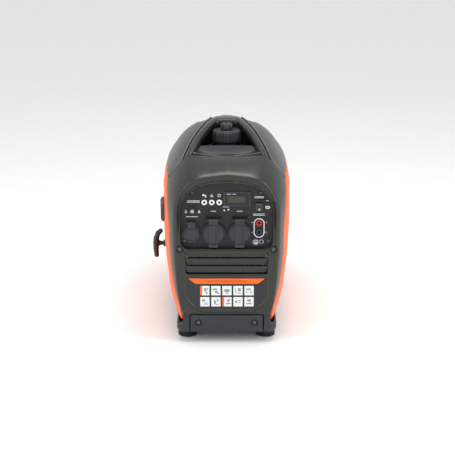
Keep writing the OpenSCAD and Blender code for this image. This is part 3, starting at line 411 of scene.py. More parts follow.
RED = material("jack_red", "#b3252c", "#94191f", rough=(0.28, 0.4), grain=900, bump=0.1)
DISPLAY = material("display_glass", "#1a1d17", "#23271c", rough=(0.08, 0.16), grain=200, bump=0.02, coat=0.6)
LAMP = material("lamp_lens", "#f2f4f5", "#dfe3e6", rough=(0.14, 0.24), grain=200, bump=0.04, coat=0.5)
OILCAP = material("oil_cap_plastic", "#d9b21f", "#c29b12", rough=(0.35, 0.5), grain=900, bump=0.2)
FOAM = material("foam_black", "#131415", "#0c0d0d", rough=(0.85, 1.0), grain=320, bump=0.9, depth=0.0012,
                cloud=120)

BY_SLOT = {"shell": SHELL, "trim": TRIM, "side": ORANGE, "panel": PANEL, "lid": LID, "rubber": RUBBER,
           "steel": STEEL,
           "chrome": CHROME, "casting": CASTING, "label": LABEL, "jack": RED, "winding": WINDING, "rope": ROPE,
           "ceramic": CERAMIC, "oilcap": OILCAP}
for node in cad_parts.values():
    for place in node.material_slots:
        if place.material and place.material.name.split(".")[0] in BY_SLOT:
            place.material = BY_SLOT[place.material.name.split(".")[0]]


def painted(ob, mat):
    ob.data.materials.clear()
    ob.data.materials.append(mat)
    return ob


def riding(piece, body="root", nodes=()):
    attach(piece, body)
    if nodes:
        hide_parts(*nodes)
    return piece


def finish_piece(piece, mat, body="root", nodes=()):
    return riding(painted(piece, mat), body, nodes)


# ---- moulded covers
SHELL_T = 5.5 * MM
RIM_HALF, RIM_Z1, RIM_Z0 = 104.5 * MM, TOP - 80 * MM, COVER_Z0 - 6 * MM
FACE_STEP = 3.4 * MM


def rim_d(x, z):
    """Outline of the stepped face: an arch above, a rounded U below."""
    return arch_d(x, z, RIM_HALF, RIM_Z0, PANEL_Z0 + 0.5 * PANEL_H, RIM_Z1, 52 * MM)


def panel_d(x, z):
    return arch_d(x, z, PANEL_HALF, PANEL_Z0, PANEL_Z0 + 0.5 * PANEL_H, PANEL_Z0 + PANEL_H, 18 * MM)


def forehead_keep(x, y, z):
    """Below the scooped forehead, or out in the shoulders."""
    crease = np.minimum(0.14 * np.sqrt(x**2 + (0.6 * MM) ** 2), 5 * MM)
    rise = 1.6 * x**2 * np.clip((y - FRONT) / (FRONT_SEAM - FRONT), 0, 1) ** 2
    valley = z - forehead_z(y) + crease - rise - 1.5 * MM
    shoulder = 87 * MM - np.abs(x) + 0.35 * (TOP - 60 * MM - z)
    return smin(valley, shoulder, 26 * MM)


def screw_beds(d, x, y, z, screw_x, screw_z):
    """Sink a flat bed for a screw at each side, with a hole through it."""
    for sx in (-1, 1):
        r = np.hypot(x - sx * screw_x, z - screw_z)
        d = smax(d, -np.maximum(r - 7.5 * MM, y - FRONT - 4.5 * MM), 1 * MM)
        d = np.maximum(d, -(r - 2.4 * MM))
    return d


def front_field(wx, y, z):
    x = wx - MID_X
    outer = body(x, y, z)
    keep = forehead_keep(x, y, z)
    outer = smax(outer, keep, 16 * MM)
    slope = np.clip(1 - panel_d(x, z) / (19 * MM), 0, 1) * np.clip((z - PANEL_Z0) / (60 * MM), 0, 1)
    step = FACE_STEP + 6 * MM * slope**2
    cut = smax(rim_d(x, z), y - FRONT - step, 1.5 * MM)
    outer = smax(outer, -cut, 2.5 * MM)
    # Round bead that frames the label, below the slats
    path = arch_d(x, z, 88 * MM, COVER_Z0 + 9 * MM, PANEL_Z0, PANEL_Z0 + 40 * MM, 44 * MM)
    bead = np.sqrt(path**2 + (y - FRONT - FACE_STEP) ** 2) - 2.9 * MM
    bead = np.maximum(bead, z - 156 * MM)
    outer = smin(outer, bead, 1.5 * MM)
    inner = -(smax(body(x, y, z, SHELL_T), keep + SHELL_T, 12 * MM))
    shell = np.maximum(outer, inner)
    face = np.maximum(np.maximum(outer, y - FRONT - FACE_STEP - 12.5 * MM), rim_d(x, z) - 3 * MM)
    shell = np.minimum(shell, face)
    hole = panel_d(x, z)
    lip = np.maximum(np.abs(hole - 1.5 * MM) - 1.5 * MM,
                     np.maximum(FRONT + 4 * MM - y, y - PANEL_Y - 2.5 * MM))
    shell = smin(shell, lip, 1 * MM)
    shell = smax(shell, -hole, 2.2 * MM)
    slats_low, slats_high = (-88 * MM, FRONT - 1, 159 * MM), (88 * MM, FRONT + 40 * MM, 211 * MM)
    shell = np.maximum(shell, -box_d(x, y, z, slats_low, slats_high, 4 * MM))
    shell = screw_beds(shell, x, y, z, FACE_SCREW_X, FACE_SCREW_Z)
    # Region of this cover: in front of the side covers, and over the roof up to its seam
    side = polygon_d(y, z, side_outline(SEAM))
    below = np.maximum(y - FRONT - FRONT_SWEEP, z - SIDE_Z1)
    above = np.maximum(y - FRONT_SEAM, SIDE_Z1 - 1 * MM - z)
    region = np.maximum(np.maximum(np.minimum(below, above), COVER_Z0 - z), -side)
    return smax(shell, region, 1.6 * MM)


def top_field(wx, y, z):
    x = wx - MID_X
    outside = np.abs(x) - arm_x(np.minimum(y, NECK)) - ARM_W / 2 - 1 * MM
    beside = np.clip(outside / (10 * MM), 0, 1)
    along = np.clip((REAR_SEAM - y) / (60 * MM), 0, 1)
    along = along * np.clip((y - FRONT_SEAM + 6 * MM) / (20 * MM), 0, 1)
    above = np.clip((z - SIDE_Z1 - 8 * MM) / (30 * MM), 0, 1)
    outer = body(x, y, z, 0.3 * MM) + 4.5 * MM * beside * along * above
    shell = np.maximum(outer, -(body(x, y, z, 10.5 * MM)))
    basin_low = (-62 * MM, NECK + 14 * MM, TOP - 67 * MM)
    basin_high = (62 * MM, REAR_SEAM - 47 * MM, TOP + 50 * MM)
    basin = box_d(x, y, z, basin_low, basin_high, 9 * MM)
    walls = np.maximum(basin - 3.5 * MM, outer)
    shell = np.minimum(shell, walls)
    shell = smax(shell, -basin, 4 * MM)
    shell = np.maximum(shell, -np.maximum(handle_plan_d(x, y) - 0.7 * MM, -body(x, y, z, 25 * MM)))
    deck = np.maximum(np.maximum(np.abs(x) - arm_inner(y) + 0.3 * MM, y - FRONT - 217 * MM),
                      WELL_Z - 4 * MM - z)
    shell = np.maximum(shell, -deck)
    region = np.maximum(np.maximum(FRONT_SEAM + SEAM - y, y - REAR_SEAM + SEAM), SIDE_Z1 + SEAM - z)
    return smax(shell, region, 1.6 * MM)


def handle_plan_d(x, y):
    """Plan of the handle: two arms that meet at the neck, the grip bar and its root."""
    x = np.abs(x)
    slope = (ARM_X0 - ARM_X1) / (NECK - FRONT - 60 * MM)
    arms = (np.abs(x - arm_x(y)) - ARM_W / 2 - 0.5 * MM) / math.hypot(1, slope)
    arms = np.maximum(arms, y - NECK - 16 * MM)
    bar = smax(x - 17 * MM, np.abs(y - (NECK + REAR_SEAM) / 2) - (REAR_SEAM - NECK) / 2 - 8 * MM, 3 * MM)
    neck_half = 26 * MM + 0.5 * np.clip(NECK - y, -8 * MM, 4 * MM)
    neck = smax(x - neck_half, np.maximum(FRONT + 216 * MM - y, y - NECK - 24 * MM), 12 * MM)
    root = smax(x - 40 * MM, np.maximum(REAR_SEAM - 44 * MM - y, y - REAR_SEAM - 11 * MM), 9 * MM)
    return smin(smin(smin(arms, neck, 10 * MM), bar, 10 * MM), root, 16 * MM)


def handle_field(wx, y, z):
    x = wx - MID_X
    outer = body(x, y, z)
    plan = handle_plan_d(x, y)
    lower = -body(x, y, z, 19 * MM)
    solid = smax(smax(outer, plan, 9 * MM), lower, 7 * MM)
    return np.maximum(solid, FRONT_SEAM + SEAM - y)


def deck_field(wx, y, z):
    x = wx - MID_X
    plan = smax(np.abs(x) - arm_inner(y) + 0.6 * MM, np.maximum(FRONT_SEAM + SEAM - y, y - FRONT - 216 * MM),
                4 * MM)
    t = np.clip((y - FRONT_SEAM) / (DISH_REAR - FRONT_SEAM), 0, 1)
    bowl = TOP - 54 * MM - 3 * MM * np.sin(t * math.pi) + 17 * MM * t**1.3 + 1.6 * x**2 * (1 - t)
    dish = smax(z - bowl, y - DISH_REAR, 5 * MM)
    well = smax(np.abs(x) - arm_inner(y) + 3 * MM, y - FRONT - 213 * MM, 4 * MM)
    rim = np.maximum(np.abs(well) - 2 * MM, z - TOP + 50 * MM)
    floor = z - WELL_Z
    top = smin(smin(dish, floor, 3 * MM), np.maximum(rim, DISH_REAR - 2 * MM - y), 3 * MM)
    out = np.maximum(smax(top, plan, 1.5 * MM), WELL_Z - 3 * MM - z)
    hollow = np.maximum(np.maximum(z - bowl + 4 * MM, y - DISH_REAR + 4 * MM), plan + 4 * MM)
    out = np.maximum(out, -np.maximum(hollow, WELL_Z - 1 * MM - z))
    r = np.hypot(x, y - FRONT - 178 * MM)
    return np.maximum(out, -np.maximum(r - 25 * MM, y - 1))


def slot_d(u, v, u0, u1, v0, v1, r=None):
    """Rounded box outline in a plane; without a radius its ends are half round."""
    if r is None:
        r = min(u1 - u0, v1 - v0) / 2
    qu = np.abs(u - (u0 + u1) / 2) - (u1 - u0) / 2 + r
    qv = np.abs(v - (v0 + v1) / 2) - (v1 - v0) / 2 + r
    return np.hypot(np.maximum(qu, 0), np.maximum(qv, 0)) + np.minimum(np.maximum(qu, qv), 0) - r


def side_field(sign):
    def field(wx, y, z):
        x = (wx - MID_X) * sign
        outline = polygon_d(y, z, side_outline(0))
        outer = body(x, y, z)
        # Shallow moulded field with a raised border, for stiffness
        panel = slot_d(y, z, FRONT + 70 * MM, REAR - 62 * MM, SIDE_Z0 + 60 * MM, SIDE_Z1 - 34 * MM, 30 * MM)
        outer = smax(outer, -smax(panel, -(outer + 2.2 * MM), 1.5 * MM), 3 * MM)
        shell = np.maximum(outer, -body(x, y, z, SHELL_T + 3 * MM))
        for i in range(5):
            y0 = FRONT + (330 + 16 * i) * MM
            shell = smax(shell, -slot_d(y, z, y0, y0 + 7 * MM, 135 * MM, 235 * MM), 1.2 * MM)
        if sign < 0:
            shell = smax(shell, -(np.hypot(y - FRONT - 130 * MM, z - WAIST + 2 * MM) - 28 * MM), 2 * MM)
            shell = smax(shell, -(np.hypot(y - FRONT - 215 * MM, z - 161 * MM) - 8.3 * MM), 1 * MM)
        return smax(smax(shell, outline, 1.8 * MM), 50 * MM - x, 1 * MM)

    return field


def rear_field(wx, y, z):
    x = wx - MID_X
    outer = body(x, y, z)
    panel = slot_d(x, z, -90 * MM, 90 * MM, COVER_Z0 + 14 * MM, 340 * MM, 18 * MM)
    outer = smax(outer, -smax(panel, REAR - 2.4 * MM - y, 1.5 * MM), 2 * MM)
    shell = np.maximum(outer, -body(x, y, z, SHELL_T + 3.5 * MM))
    for first, count, x_end in ((100, 7, 30), (216, 8, 80)):
        for i in range(count):
            z0 = (first + 14 * i) * MM
            slot = slot_d(x, z, -80 * MM, x_end * MM, z0, z0 + 6 * MM)
            shell = smax(shell, -np.maximum(slot, REAR - 14 * MM - y), 1 * MM)
    shell = smax(shell, -np.maximum(np.hypot(x - 62 * MM, z - 140 * MM) - 20 * MM, REAR - 14 * MM - y),
                 1.5 * MM)
    side = polygon_d(y, z, side_outline(SEAM))
    below = np.maximum(REAR - 30 * MM + SEAM - y, z - SIDE_Z1 - 30 * MM)
    above = np.maximum(REAR_SEAM - y, SIDE_Z1 - z)
    region = np.maximum(np.maximum(np.minimum(below, above), COVER_Z0 - z), -side)
    shell = np.maximum(shell, -np.maximum(handle_plan_d(x, y) - 0.8 * MM, -body(x, y, z, 25 * MM)))
    return smax(shell, region, 1.6 * MM)


def louver_field(wx, y, z):
    """Three slats with slanted ends; each leans out towards its lower edge."""
    x = wx - MID_X
    pitch, tall = 17.4 * MM, 13.6 * MM
    out = np.full(np.broadcast(x, y, z).shape, 1.0)
    for i in range(3):
        top = 211.5 * MM - i * pitch
        t = np.clip((top - z) / tall, 0, 1)
        half = SLAT_HALF - 7 * MM * t
        lean = FRONT + 6.5 * MM - 4.6 * MM * t**0.8
        slat = smax(np.maximum(lean - y, y - lean - 3 * MM), np.maximum(z - top, top - tall - z), 1.6 * MM)
        out = np.minimum(out, smax(slat, np.abs(x) - half, 2 * MM))
    ring = np.abs(np.maximum(np.abs(x) - SLAT_HALF, np.abs(z - 184 * MM) - 28 * MM)) - 3 * MM
    back = np.maximum(ring, np.abs(y - FRONT - 9 * MM) - 2 * MM)
    return np.minimum(out, back)


def skirt_field(wx, y, z):
    x = wx - MID_X
    lean = 5 * MM * np.clip((COVER_Z0 - 20 * MM - z) / (22 * MM), 0, 1) ** 2
    d = smax(FRONT + 1.8 * MM + lean - y, y - FRONT - 9 * MM, 1 * MM)
    d = smax(d, np.maximum(z - COVER_Z0 + SEAM, 24 * MM - z), 2.5 * MM)
    d = smax(d, np.abs(x) - SKIRT_HALF + 0.5 * MM, 2 * MM)
    return screw_beds(d, x, y, z, SKIRT_SCREW_X, SKIRT_SCREW_Z)


def grow(box, g=3):
    return [c - g * MM for c in box[0]], [c + g * MM for c in box[1]]


VOXEL = 2.0 * MM * 1.0

def moulded(name, field, node, voxel, mat, body="root", margin=3):
    """The smooth mesh of a field, in place of one CAD node and over its box."""
    piece = surface_nets(field, *grow(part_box(node), margin), voxel, name)
    return finish_piece(piece, mat, body, [node])


moulded("front_cover_shell", front_field, "front_cover", VOXEL, SHELL)
moulded("top_cover_shell", top_field, "top_cover", VOXEL, SHELL)
moulded("handle_moulding", handle_field, "carry_handle", VOXEL, SHELL)
moulded("filler_dish", deck_field, "filler_deck", 1.5 * MM, DISH)
moulded("left_side_cover", side_field(-1), "left_cover", VOXEL * 1.25, ORANGE)
moulded("right_side_cover", side_field(1), "right_cover", VOXEL * 1.25, ORANGE)
moulded("rear_cover_shell", rear_field, "rear_cover", VOXEL, SHELL)
moulded("front_slats", louver_field, "front_louvers", 0.9 * MM, SHELL)
moulded("front_skirt_moulding", skirt_field, "front_skirt", 1.2 * MM, TRIM)


# ---- small mouldings on the panel
def face_outward(ob, merge=False):
    """Turn every face outward, after joining points that coincide if merge is set."""
    work = bmesh.new()
    work.from_mesh(ob.data)
    if merge:
        bmesh.ops.remove_doubles(work, verts=work.verts, dist=1e-6)
    bmesh.ops.recalc_face_normals(work, faces=work.faces)
    work.to_mesh(ob.data)
    work.free()


def lathe(name, profile, centre, axis="y", sides=64, wave=None):
    """Turned piece: profile of (radius, height); wave(angle, radius, height) may change the radius."""
    angles = np.linspace(0, 2 * math.pi, sides, endpoint=False)
    verts, faces = [], []
    for r, h in profile:
        for a in angles:
            radius = r if wave is None else wave(a, r, h)
            u, v = radius * math.cos(a), radius * math.sin(a)
            offset = {"x": (h, u, v), "y": (u, h, v), "z": (u, v, h)}[axis]
            verts.append([centre[i] + offset[i] for i in range(3)])
    n = sides
    for k in range(len(profile) - 1):
        for i in range(n):
            j = (i + 1) % n
            quad = (k * n + i, k * n + j, (k + 1) * n + j, (k + 1) * n + i)
            faces.append(quad if axis != "y" else quad[::-1])
    for k, turn in ((0, -1), (len(profile) - 1, 1)):
        if profile[k][0] > 1e-6:
            ring = tuple(k * n + i for i in range(n))
            faces.append(ring[:: turn if axis != "y" else -turn])
    ob = mesh_object(name, verts, faces, angle=30)
    face_outward(ob, merge=True)
    ob.data.set_sharp_from_angle(angle=math.radians(30))
    return ob


def plate(name, outline, y_front, thick, bevel=0.3 * MM):
    """Flat plate in the plane of the panel with a bevelled front edge; outline is (x, z)."""
    inner = shrink(outline, bevel)
    verts = [(x, y_front + thick, z) for x, z in outline]
    verts += [(x, y_front + bevel, z) for x, z in outline]
    verts += [(x, y_front, z) for x, z in inner]
    n = len(outline)
    faces = [tuple(range(n))[::-1], tuple(2 * n + i for i in range(n))]
    for k in (0, 1):
        for i in range(n):
            j = (i + 1) % n
            faces.append((k * n + i, k * n + j, (k + 1) * n + j, (k + 1) * n + i))
    ob = mesh_object(name, verts, faces, angle=25)
    face_outward(ob)
    return ob


def shrink(outline, d):
    """Outline moved in by d, vertex by vertex."""
    points = np.array(outline, float)
    before, after = np.roll(points, 1, 0), np.roll(points, -1, 0)
    area = np.sum(points[:, 0] * after[:, 1] - after[:, 0] * points[:, 1])
    sign = 1 if area > 0 else -1

    def normal(a, b):
        e = b - a
        e /= np.linalg.norm(e, axis=1)[:, None] + 1e-12
        return np.stack([-e[:, 1], e[:, 0]], 1) * sign

    n1, n2 = normal(before, points), normal(points, after)
    m = n1 + n2
    m /= np.linalg.norm(m, axis=1)[:, None] + 1e-9
    scale = d / np.maximum((m * n1).sum(1), 0.4)
    return [tuple(p) for p in points + m * scale[:, None]]


def rounded(cx, cz, w, h, r, steps=5):
    out = []
    for sx, sz, start in ((1, 1, 0), (-1, 1, 90), (-1, -1, 180), (1, -1, 270)):
        for i in range(steps + 1):
            a = math.radians(start + 90 * i / steps)
            out.append((cx + sx * (w / 2 - r) + r * math.cos(a), cz + sz * (h / 2 - r) + r * math.sin(a)))
    return out


def circle(cx, cz, r, n=40):
    return [(cx + r * math.cos(2 * math.pi * i / n),
             cz + r * math.sin(2 * math.pi * i / n)) for i in range(n)]


def joined(name, parts):
    """One piece from several meshes, which keep their materials."""
    verts, faces, mats, slots = [], [], [], []
    for part in parts:
        mat = part.data.materials[0] if part.data.materials else None
        if mat not in mats:
            mats.append(mat)
        base = len(verts)
        verts += [tuple(v.co) for v in part.data.vertices]
        for face in part.data.polygons:
            faces.append(tuple(base + i for i in face.vertices))
            slots.append(mats.index(mat))
        bpy.data.objects.remove(part)
    ob = mesh_object(name, verts, faces, angle=30)
    for mat in mats:
        ob.data.materials.append(mat)
    ob.data.polygons.foreach_set("material_index", slots)
    return ob


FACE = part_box("control_panel")[0][1]
PRINT_T = 0.35 * MM


def px(x):
    return MID_X + x * MM


def middle(low, high):
    """Centre of a box as (x, z)."""
    return (low[0] + high[0]) / 2, (low[2] + high[2]) / 2


def printed(outline, mat=WHITE, y=FACE):
    return painted(plate("print", outline, y - PRINT_T, PRINT_T + 0.1 * MM, 0.08 * MM), mat)


def turned(profile, x, z, y, mat, name="turned", sides=64, wave=None):
    """Turned piece on the panel: its profile is (radius, depth behind y) in mm."""
    points = [(max(r * MM, 1e-7), y + depth * MM) for r, depth in profile]
    return painted(lathe(name, points, (x, 0, z), sides=sides, wave=wave), mat)


# Socket lids: a disc with an upright tab, a groove beside it and a hinge strip
def lid_field(cx, cz, y0):
    def field(wx, y, z):
        x, h = wx - cx, z - cz
        back = y - y0 - 6.2 * MM
        disc_front = y0 + 1.9 * MM + 8 * (x**2 + h**2)
        disc = smax(np.hypot(x, h) - 25.2 * MM, np.maximum(disc_front - y, back), 1.6 * MM)
        tab = smax(np.abs(x) - 10.2 * MM, np.maximum(h - 29.5 * MM, -29.3 * MM - h), 2 * MM)
        tab_front = y0 + 0.4 * MM + 0.8 * MM * np.clip(h / (30 * MM), -1, 1) ** 2
        tab = smax(tab, np.maximum(tab_front - y, back), 1.4 * MM)
        out = smin(disc, tab, 0.6 * MM)
        out = smax(out, -np.maximum(np.abs(x - 5.4 * MM) - 0.9 * MM, y - y0 - 1.6 * MM), 0.5 * MM)
        ring = np.maximum(np.abs(np.hypot(x, h) - 21.6 * MM) - 0.7 * MM, y - y0 - 2.9 * MM)
        return smax(out, -ring, 0.5 * MM)

    return field


for side in ("left", "right"):
    low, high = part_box(f"socket_flap_{side}")
    cx, cz = (low[0] + high[0]) / 2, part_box(f"socket_{side}")[0][2] + 25.5 * MM
    lid = surface_nets(lid_field(cx, cz, low[1]), *grow((low, high), 1.5), 0.7 * MM, f"socket_lid_{side}")
    finish_piece(lid, LID, f"flap_{side}_body", [f"socket_flap_{side}"])
    strip_outline = rounded(cx, high[2] - 3.4 * MM, 20 * MM, 5 * MM, 1 * MM)
    strip = plate(f"hinge_strip_{side}", strip_outline, low[1] + 0.1 * MM, 1.2 * MM)
    riding(painted(strip, TRIM), f"flap_{side}_body")

low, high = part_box("dc_flap")
dc_x, dc_z = (low[0] + high[0]) / 2, (low[2] + 18 * MM)


def dc_lid_field(wx, y, z):
    x, h = wx - dc_x, z - dc_z
    disc = smax(np.hypot(x, h) - 17.4 * MM, np.maximum(low[1] + 1 * MM - y, y - high[1]), 1.2 * MM)
    tab = smax(np.abs(x) - 8 * MM, np.maximum(h - 27 * MM, -17.6 * MM - h), 1.6 * MM)
    tab = smax(tab, np.maximum(low[1] + 0.3 * MM - y, y - high[1]), 1 * MM)
    pad = smax(np.hypot(x, h) - 10.5 * MM, low[1] - y, 1.2 * MM)
    pad = np.maximum(pad, y - high[1])
    ring = np.maximum(np.abs(np.hypot(x, h) - 13.5 * MM) - 0.9 * MM, y - low[1] - 1.9 * MM)
    return smax(smin(smin(disc, tab, 0.5 * MM), pad, 0.8 * MM), -ring, 0.5 * MM)


moulded("dc_lid", dc_lid_field, "dc_flap", 0.6 * MM, LID, "dc_flap_body", 1.5)

# Meter: charcoal frame, dark window and a faint row of segments
low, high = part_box("meter")
mx, mz = middle(low, high)
y = low[1]
parts = []


def meter_part(x, z, w, h, r, depth, thick, mat, bevel=0.3):
    """Rounded plate on the meter; x and z are from its centre, and every length is in mm."""
    outline = rounded(mx + x * MM, mz + z * MM, w * MM, h * MM, r * MM)
    parts.append(painted(plate("meter_part", outline, y + depth * MM, thick * MM, bevel * MM), mat))


meter_size = [(high[i] - low[i]) / MM for i in range(3)]
meter_part(0, 0, meter_size[0], meter_size[2], 2, 0.6, meter_size[1] - 2, LID, 0.8)
meter_part(0, 0, 50, 25.5, 1.2, 0.3, 0.5, PANEL)
meter_part(-1, -1, 38, 14.5, 0.8, 0.1, 0.4, DISPLAY)
for k in range(5):
    for dz in (-3.1, 1.1):
        meter_part(-1 + (k - 2) * 6, dz, 2.8, 2.6, 0.4, 0.02, 0.2, CHAR_SEGMENT, 0.06)
for w, x0 in ((9, -17), (7, -6)):
    meter_part(x0, 11, w, 1.1, 0.3, 0.2, 0.2, WHITE, 0.06)
riding(joined("meter_frame", parts), nodes=["meter"])

# Indicator lamps: white lens in a pale ring
LAMP_X = (-47, -31.2, -15.5)
low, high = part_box("indicator_lights")
parts = []
for lx in LAMP_X:
    place = (px(lx), middle(low, high)[1], low[1])
    parts.append(turned([(0, 0.3), (2.2, 0.35), (2.9, 0.9)], *place, INK))
    parts.append(turned([(2.6, 0.9), (3.2, 0.2), (5.2, 0), (5.9, 0.6), (5.9, 8), (0, 8)], *place, LAMP))
riding(joined("lamp_lenses", parts), nodes=["indicator_lights"])

# Push button, rocker dot, jacks and ground nut
low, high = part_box("breaker_button")
bx, bz = middle(low, high)
back = (high[1] - low[1]) / MM - 1
profile = [(0, 0.4), (3.2, 0), (4, 0.35), (4.3, 1.2), (4.3, back), (0, back)]
button = turned(profile, bx, bz, low[1], STEEL, "push_button")
riding(button, "breaker_body", ["breaker_button"])


def six_lobes(a, r, h):
    return r if r < 6.8 * MM else r * (1 + 0.03 * math.cos(6 * a))


profile = [(4.6, 3), (4.6, 0.4), (5.2, 0), (7, 0.1), (8.2, 1), (8.2, 2.9)]
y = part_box("breaker_collar")[0][1]
riding(turned(profile, bx, bz, y, STEEL, "push_button_nut", wave=six_lobes))
low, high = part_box("rocker_switch")
rx, rz = middle(low, high)
profile = [(1.2, 0.9), (1.3, 0.7), (2.1, 0.7), (2.2, 0.9)]
riding(turned(profile, rx, rz - 4.5 * MM, low[1], WHITE, "rocker_mark"), "rocker_body")

low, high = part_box("parallel_jacks")
profile = [(2.35, 24), (2.35, 1.4), (3, 0.2), (4.4, 0), (6.3, 0.7), (6.9, 1.9), (6.9, 27)]
parts = []
for jz, mat in ((high[2] - 7 * MM, RED), (low[2] + 7 * MM, LID)):
    parts.append(turned(profile, middle(low, high)[0], jz, low[1], mat))
riding(joined("jack_pair", parts), nodes=["parallel_jacks"])


def hexagon(a, r, h):
    if r <= 5 * MM:
        return r
    return r * math.cos(math.pi / 6) / math.cos((a % (math.pi / 3)) - math.pi / 6)


low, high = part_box("ground_terminal")
gx, gz = middle(low, high)
stud_back = (FACE - low[1]) / MM + 3
profile = [(0, 0), (2.4, 0), (3, 0.6), (3, stud_back), (0, stud_back)]
parts = [turned(profile, gx, gz, low[1], STEEL)]
parts.append(turned([(3.2, -7), (5, -7.4), (6.2, -6.6), (6.2, -1.8)], gx, gz, FACE, STEEL, wave=hexagon))
parts.append(turned([(3.2, -1.8), (6.8, -1.9), (7, -1.4), (7, 0)], gx, gz, FACE, STEEL))
riding(joined("ground_nut", parts), nodes=["ground_terminal"])


def screw(x, z, y, r, head, ring):
    """Dark ring and a paler head with a cross recess; r is in mm."""

    def cross(a, q, h):
        return q * (0.55 + 0.45 * abs(math.cos(2 * a)) ** 0.7) if q < 0.3 * r * MM else q

    rim = [(0.62 * r, 1.2), (0.72 * r, 0.15), (0.86 * r, 0), (r, 0.7), (r, 4)]
    face = [(0, 2.6), (0.2 * r, 2.6), (0.29 * r, 0.95), (0.5 * r, 0.9), (0.62 * r, 1.5), (0.62 * r, 4)]
    return [turned(rim, x, z, y, ring, sides=40), turned(face, x, z, y, head, sides=48, wave=cross)]


parts = []
for sx in (-1, 1):
    # The cover screws' ring is dark rubber that fills their recess: painted shade in the recess.
    parts += screw(MID_X + sx * FACE_SCREW_X, FACE_SCREW_Z, FRONT + 1 * MM, 6.8, STEEL_DARK, RUBBER)
    parts += screw(MID_X + sx * SKIRT_SCREW_X, SKIRT_SCREW_Z, FRONT + 3.4 * MM, 6.6, STEEL_DARK, RUBBER)
riding(joined("cover_screw_heads", parts), nodes=["cover_screws"])
parts = []
for sx, sz in ((-72, 336), (72, 336), (-89, 230), (89.5, 230)):
    parts += screw(px(sx), sz * MM, FACE - 2.2 * MM, 3.9, STEEL_DARK, LID)
riding(joined("panel_screw_heads", parts), nodes=["panel_screws"])

# Printing on the panel: plain bars, ovals and simple pictures, with no lettering
prints = []
OVER = FACE - PRINT_T  # face of the first layer of print, where the second one lies


def mark(x, z, w, h, r, steps=5, mat=WHITE, y=FACE):
    """Rounded bar of print; every length is in mm."""
    prints.append(printed(rounded(px(x), z * MM, w * MM, h * MM, r * MM, steps), mat, y))


def disc(x, z, r, mat=WHITE, y=FACE):
    prints.append(printed(circle(px(x), z * MM, r * MM), mat, y))


def triangle(x, z, half, below, above, mat=WHITE, y=FACE):
    points = [(px(x - half), (z - below) * MM), (px(x + half), (z - below) * MM), (px(x), (z + above) * MM)]
    prints.append(printed(points, mat, y))


def broken_bar(x, z, w, h=1.5):
    """Row of short dashes in place of a line of lettering."""
    at, k = x - w / 2, 0
    while at < x + w / 2 - 0.5:
        step = min((2.6, 1.7, 3.3, 2.1)[k % 4], x + w / 2 - at)
        mark(at + step / 2 - 0.2, z, step - 0.4, h, 0.25, 2)
        at, k = at + step, k + 1


for x, z, w in ((-70, 318.2, 27), (-70, 315.4, 27), (-73, 283.5, 25), (-27.75, 295.5, 12), (27.75, 295.5, 12),
                (-1, 305, 12.5), (69, 327.5, 20), (69, 325, 20), (69, 289.6, 25), (69, 286.8, 25),
                (86.5, 318.5, 7)):
    broken_bar(x, z, w)
mark(87, 304, 10.5, 6.4, 3.1, 8)
mark(87, 304, 6, 1.3, 0.5, 3, INK, OVER)
# Pictures over the lamps
ICON_Z = 330
x = LAMP_X[0]
mark(x, ICON_Z, 8.5, 2.4, 0.8)
mark(x + 3, ICON_Z - 3, 3, 2.4, 0.5)
mark(x - 2, ICON_Z + 2.4, 3.4, 1.6, 0.5)
triangle(LAMP_X[1], ICON_Z, 3.4, 3, 3.4)
triangle(LAMP_X[1], ICON_Z, 1.7, 2, 1.3, PANEL, OVER)
disc(LAMP_X[2], ICON_Z, 3.4)
disc(LAMP_X[2], ICON_Z, 2.3, PANEL, OVER)
mark(LAMP_X[2], ICON_Z + 1.2, 1, 3.6, 0.4, mat=WHITE, y=OVER)
for x in (-86, -58):
    mark(x, 292.5, 5.6, 1.5, 0.6)
    triangle(x, 294.5, 2, 0, 4.3)
for x, z in ((-5, 297.5), (4, 299)):
    disc(x, z, 1.7)
for x, z in ((84, 271), (84, 249), (54.5, 271), (54.5, 249)):
    mark(x, z, 3.6, 1, 0.4)
mark(84, 271, 1, 3.6, 0.4)
# Ground mark in a ring beside the stud
ground_x, ground_z = (gx - MID_X) / MM + 12.5, gz / MM
disc(ground_x, ground_z, 4.6)
disc(ground_x, ground_z, 3.7, PANEL, OVER)
for k, w in enumerate((4.6, 3, 1.4)):
    mark(ground_x, ground_z - 0.2 - 1.1 * k, w, 0.6, 0.25, y=OVER)
mark(ground_x, ground_z + 1.4, 0.7, 2.4, 0.25, y=OVER)
riding(joined("panel_printing", prints))

# Label under the slats: dark film, orange heading and ten pale squares with simple pictures
label_y = FRONT + FACE_STEP - 0.5 * MM
outline = [(px(84.5), 151 * MM), (px(-84.5), 151 * MM)]
for sx, a0 in ((-1, 180), (1, 270)):
    for i in range(11):
        a = math.radians(a0 + 9 * i)
        outline.append((px(sx * 44.5 + 40 * math.cos(a)), (119 + 40 * math.sin(a)) * MM))
parts = [painted(plate("film", outline, label_y, 0.9 * MM, 0.15 * MM), LABEL)]


def on_label(shape, mat, layer=1):
    parts.append(painted(plate("print", shape, label_y - 0.12 * MM * layer, 0.3 * MM, 0.05 * MM), mat))


on_label([(px(82), 149 * MM), (px(-82), 149 * MM), (px(-67), 137 * MM), (px(67), 137 * MM)], ORANGE)
at = -45
while at < 44:
    w = 2.2 + 1.3 * math.sin(at * 1.7)
    on_label(rounded(px(at + w / 2), 143.2 * MM, (w - 0.5) * MM, 1.7 * MM, 0.3 * MM, 2), INK, 2)
    at += w
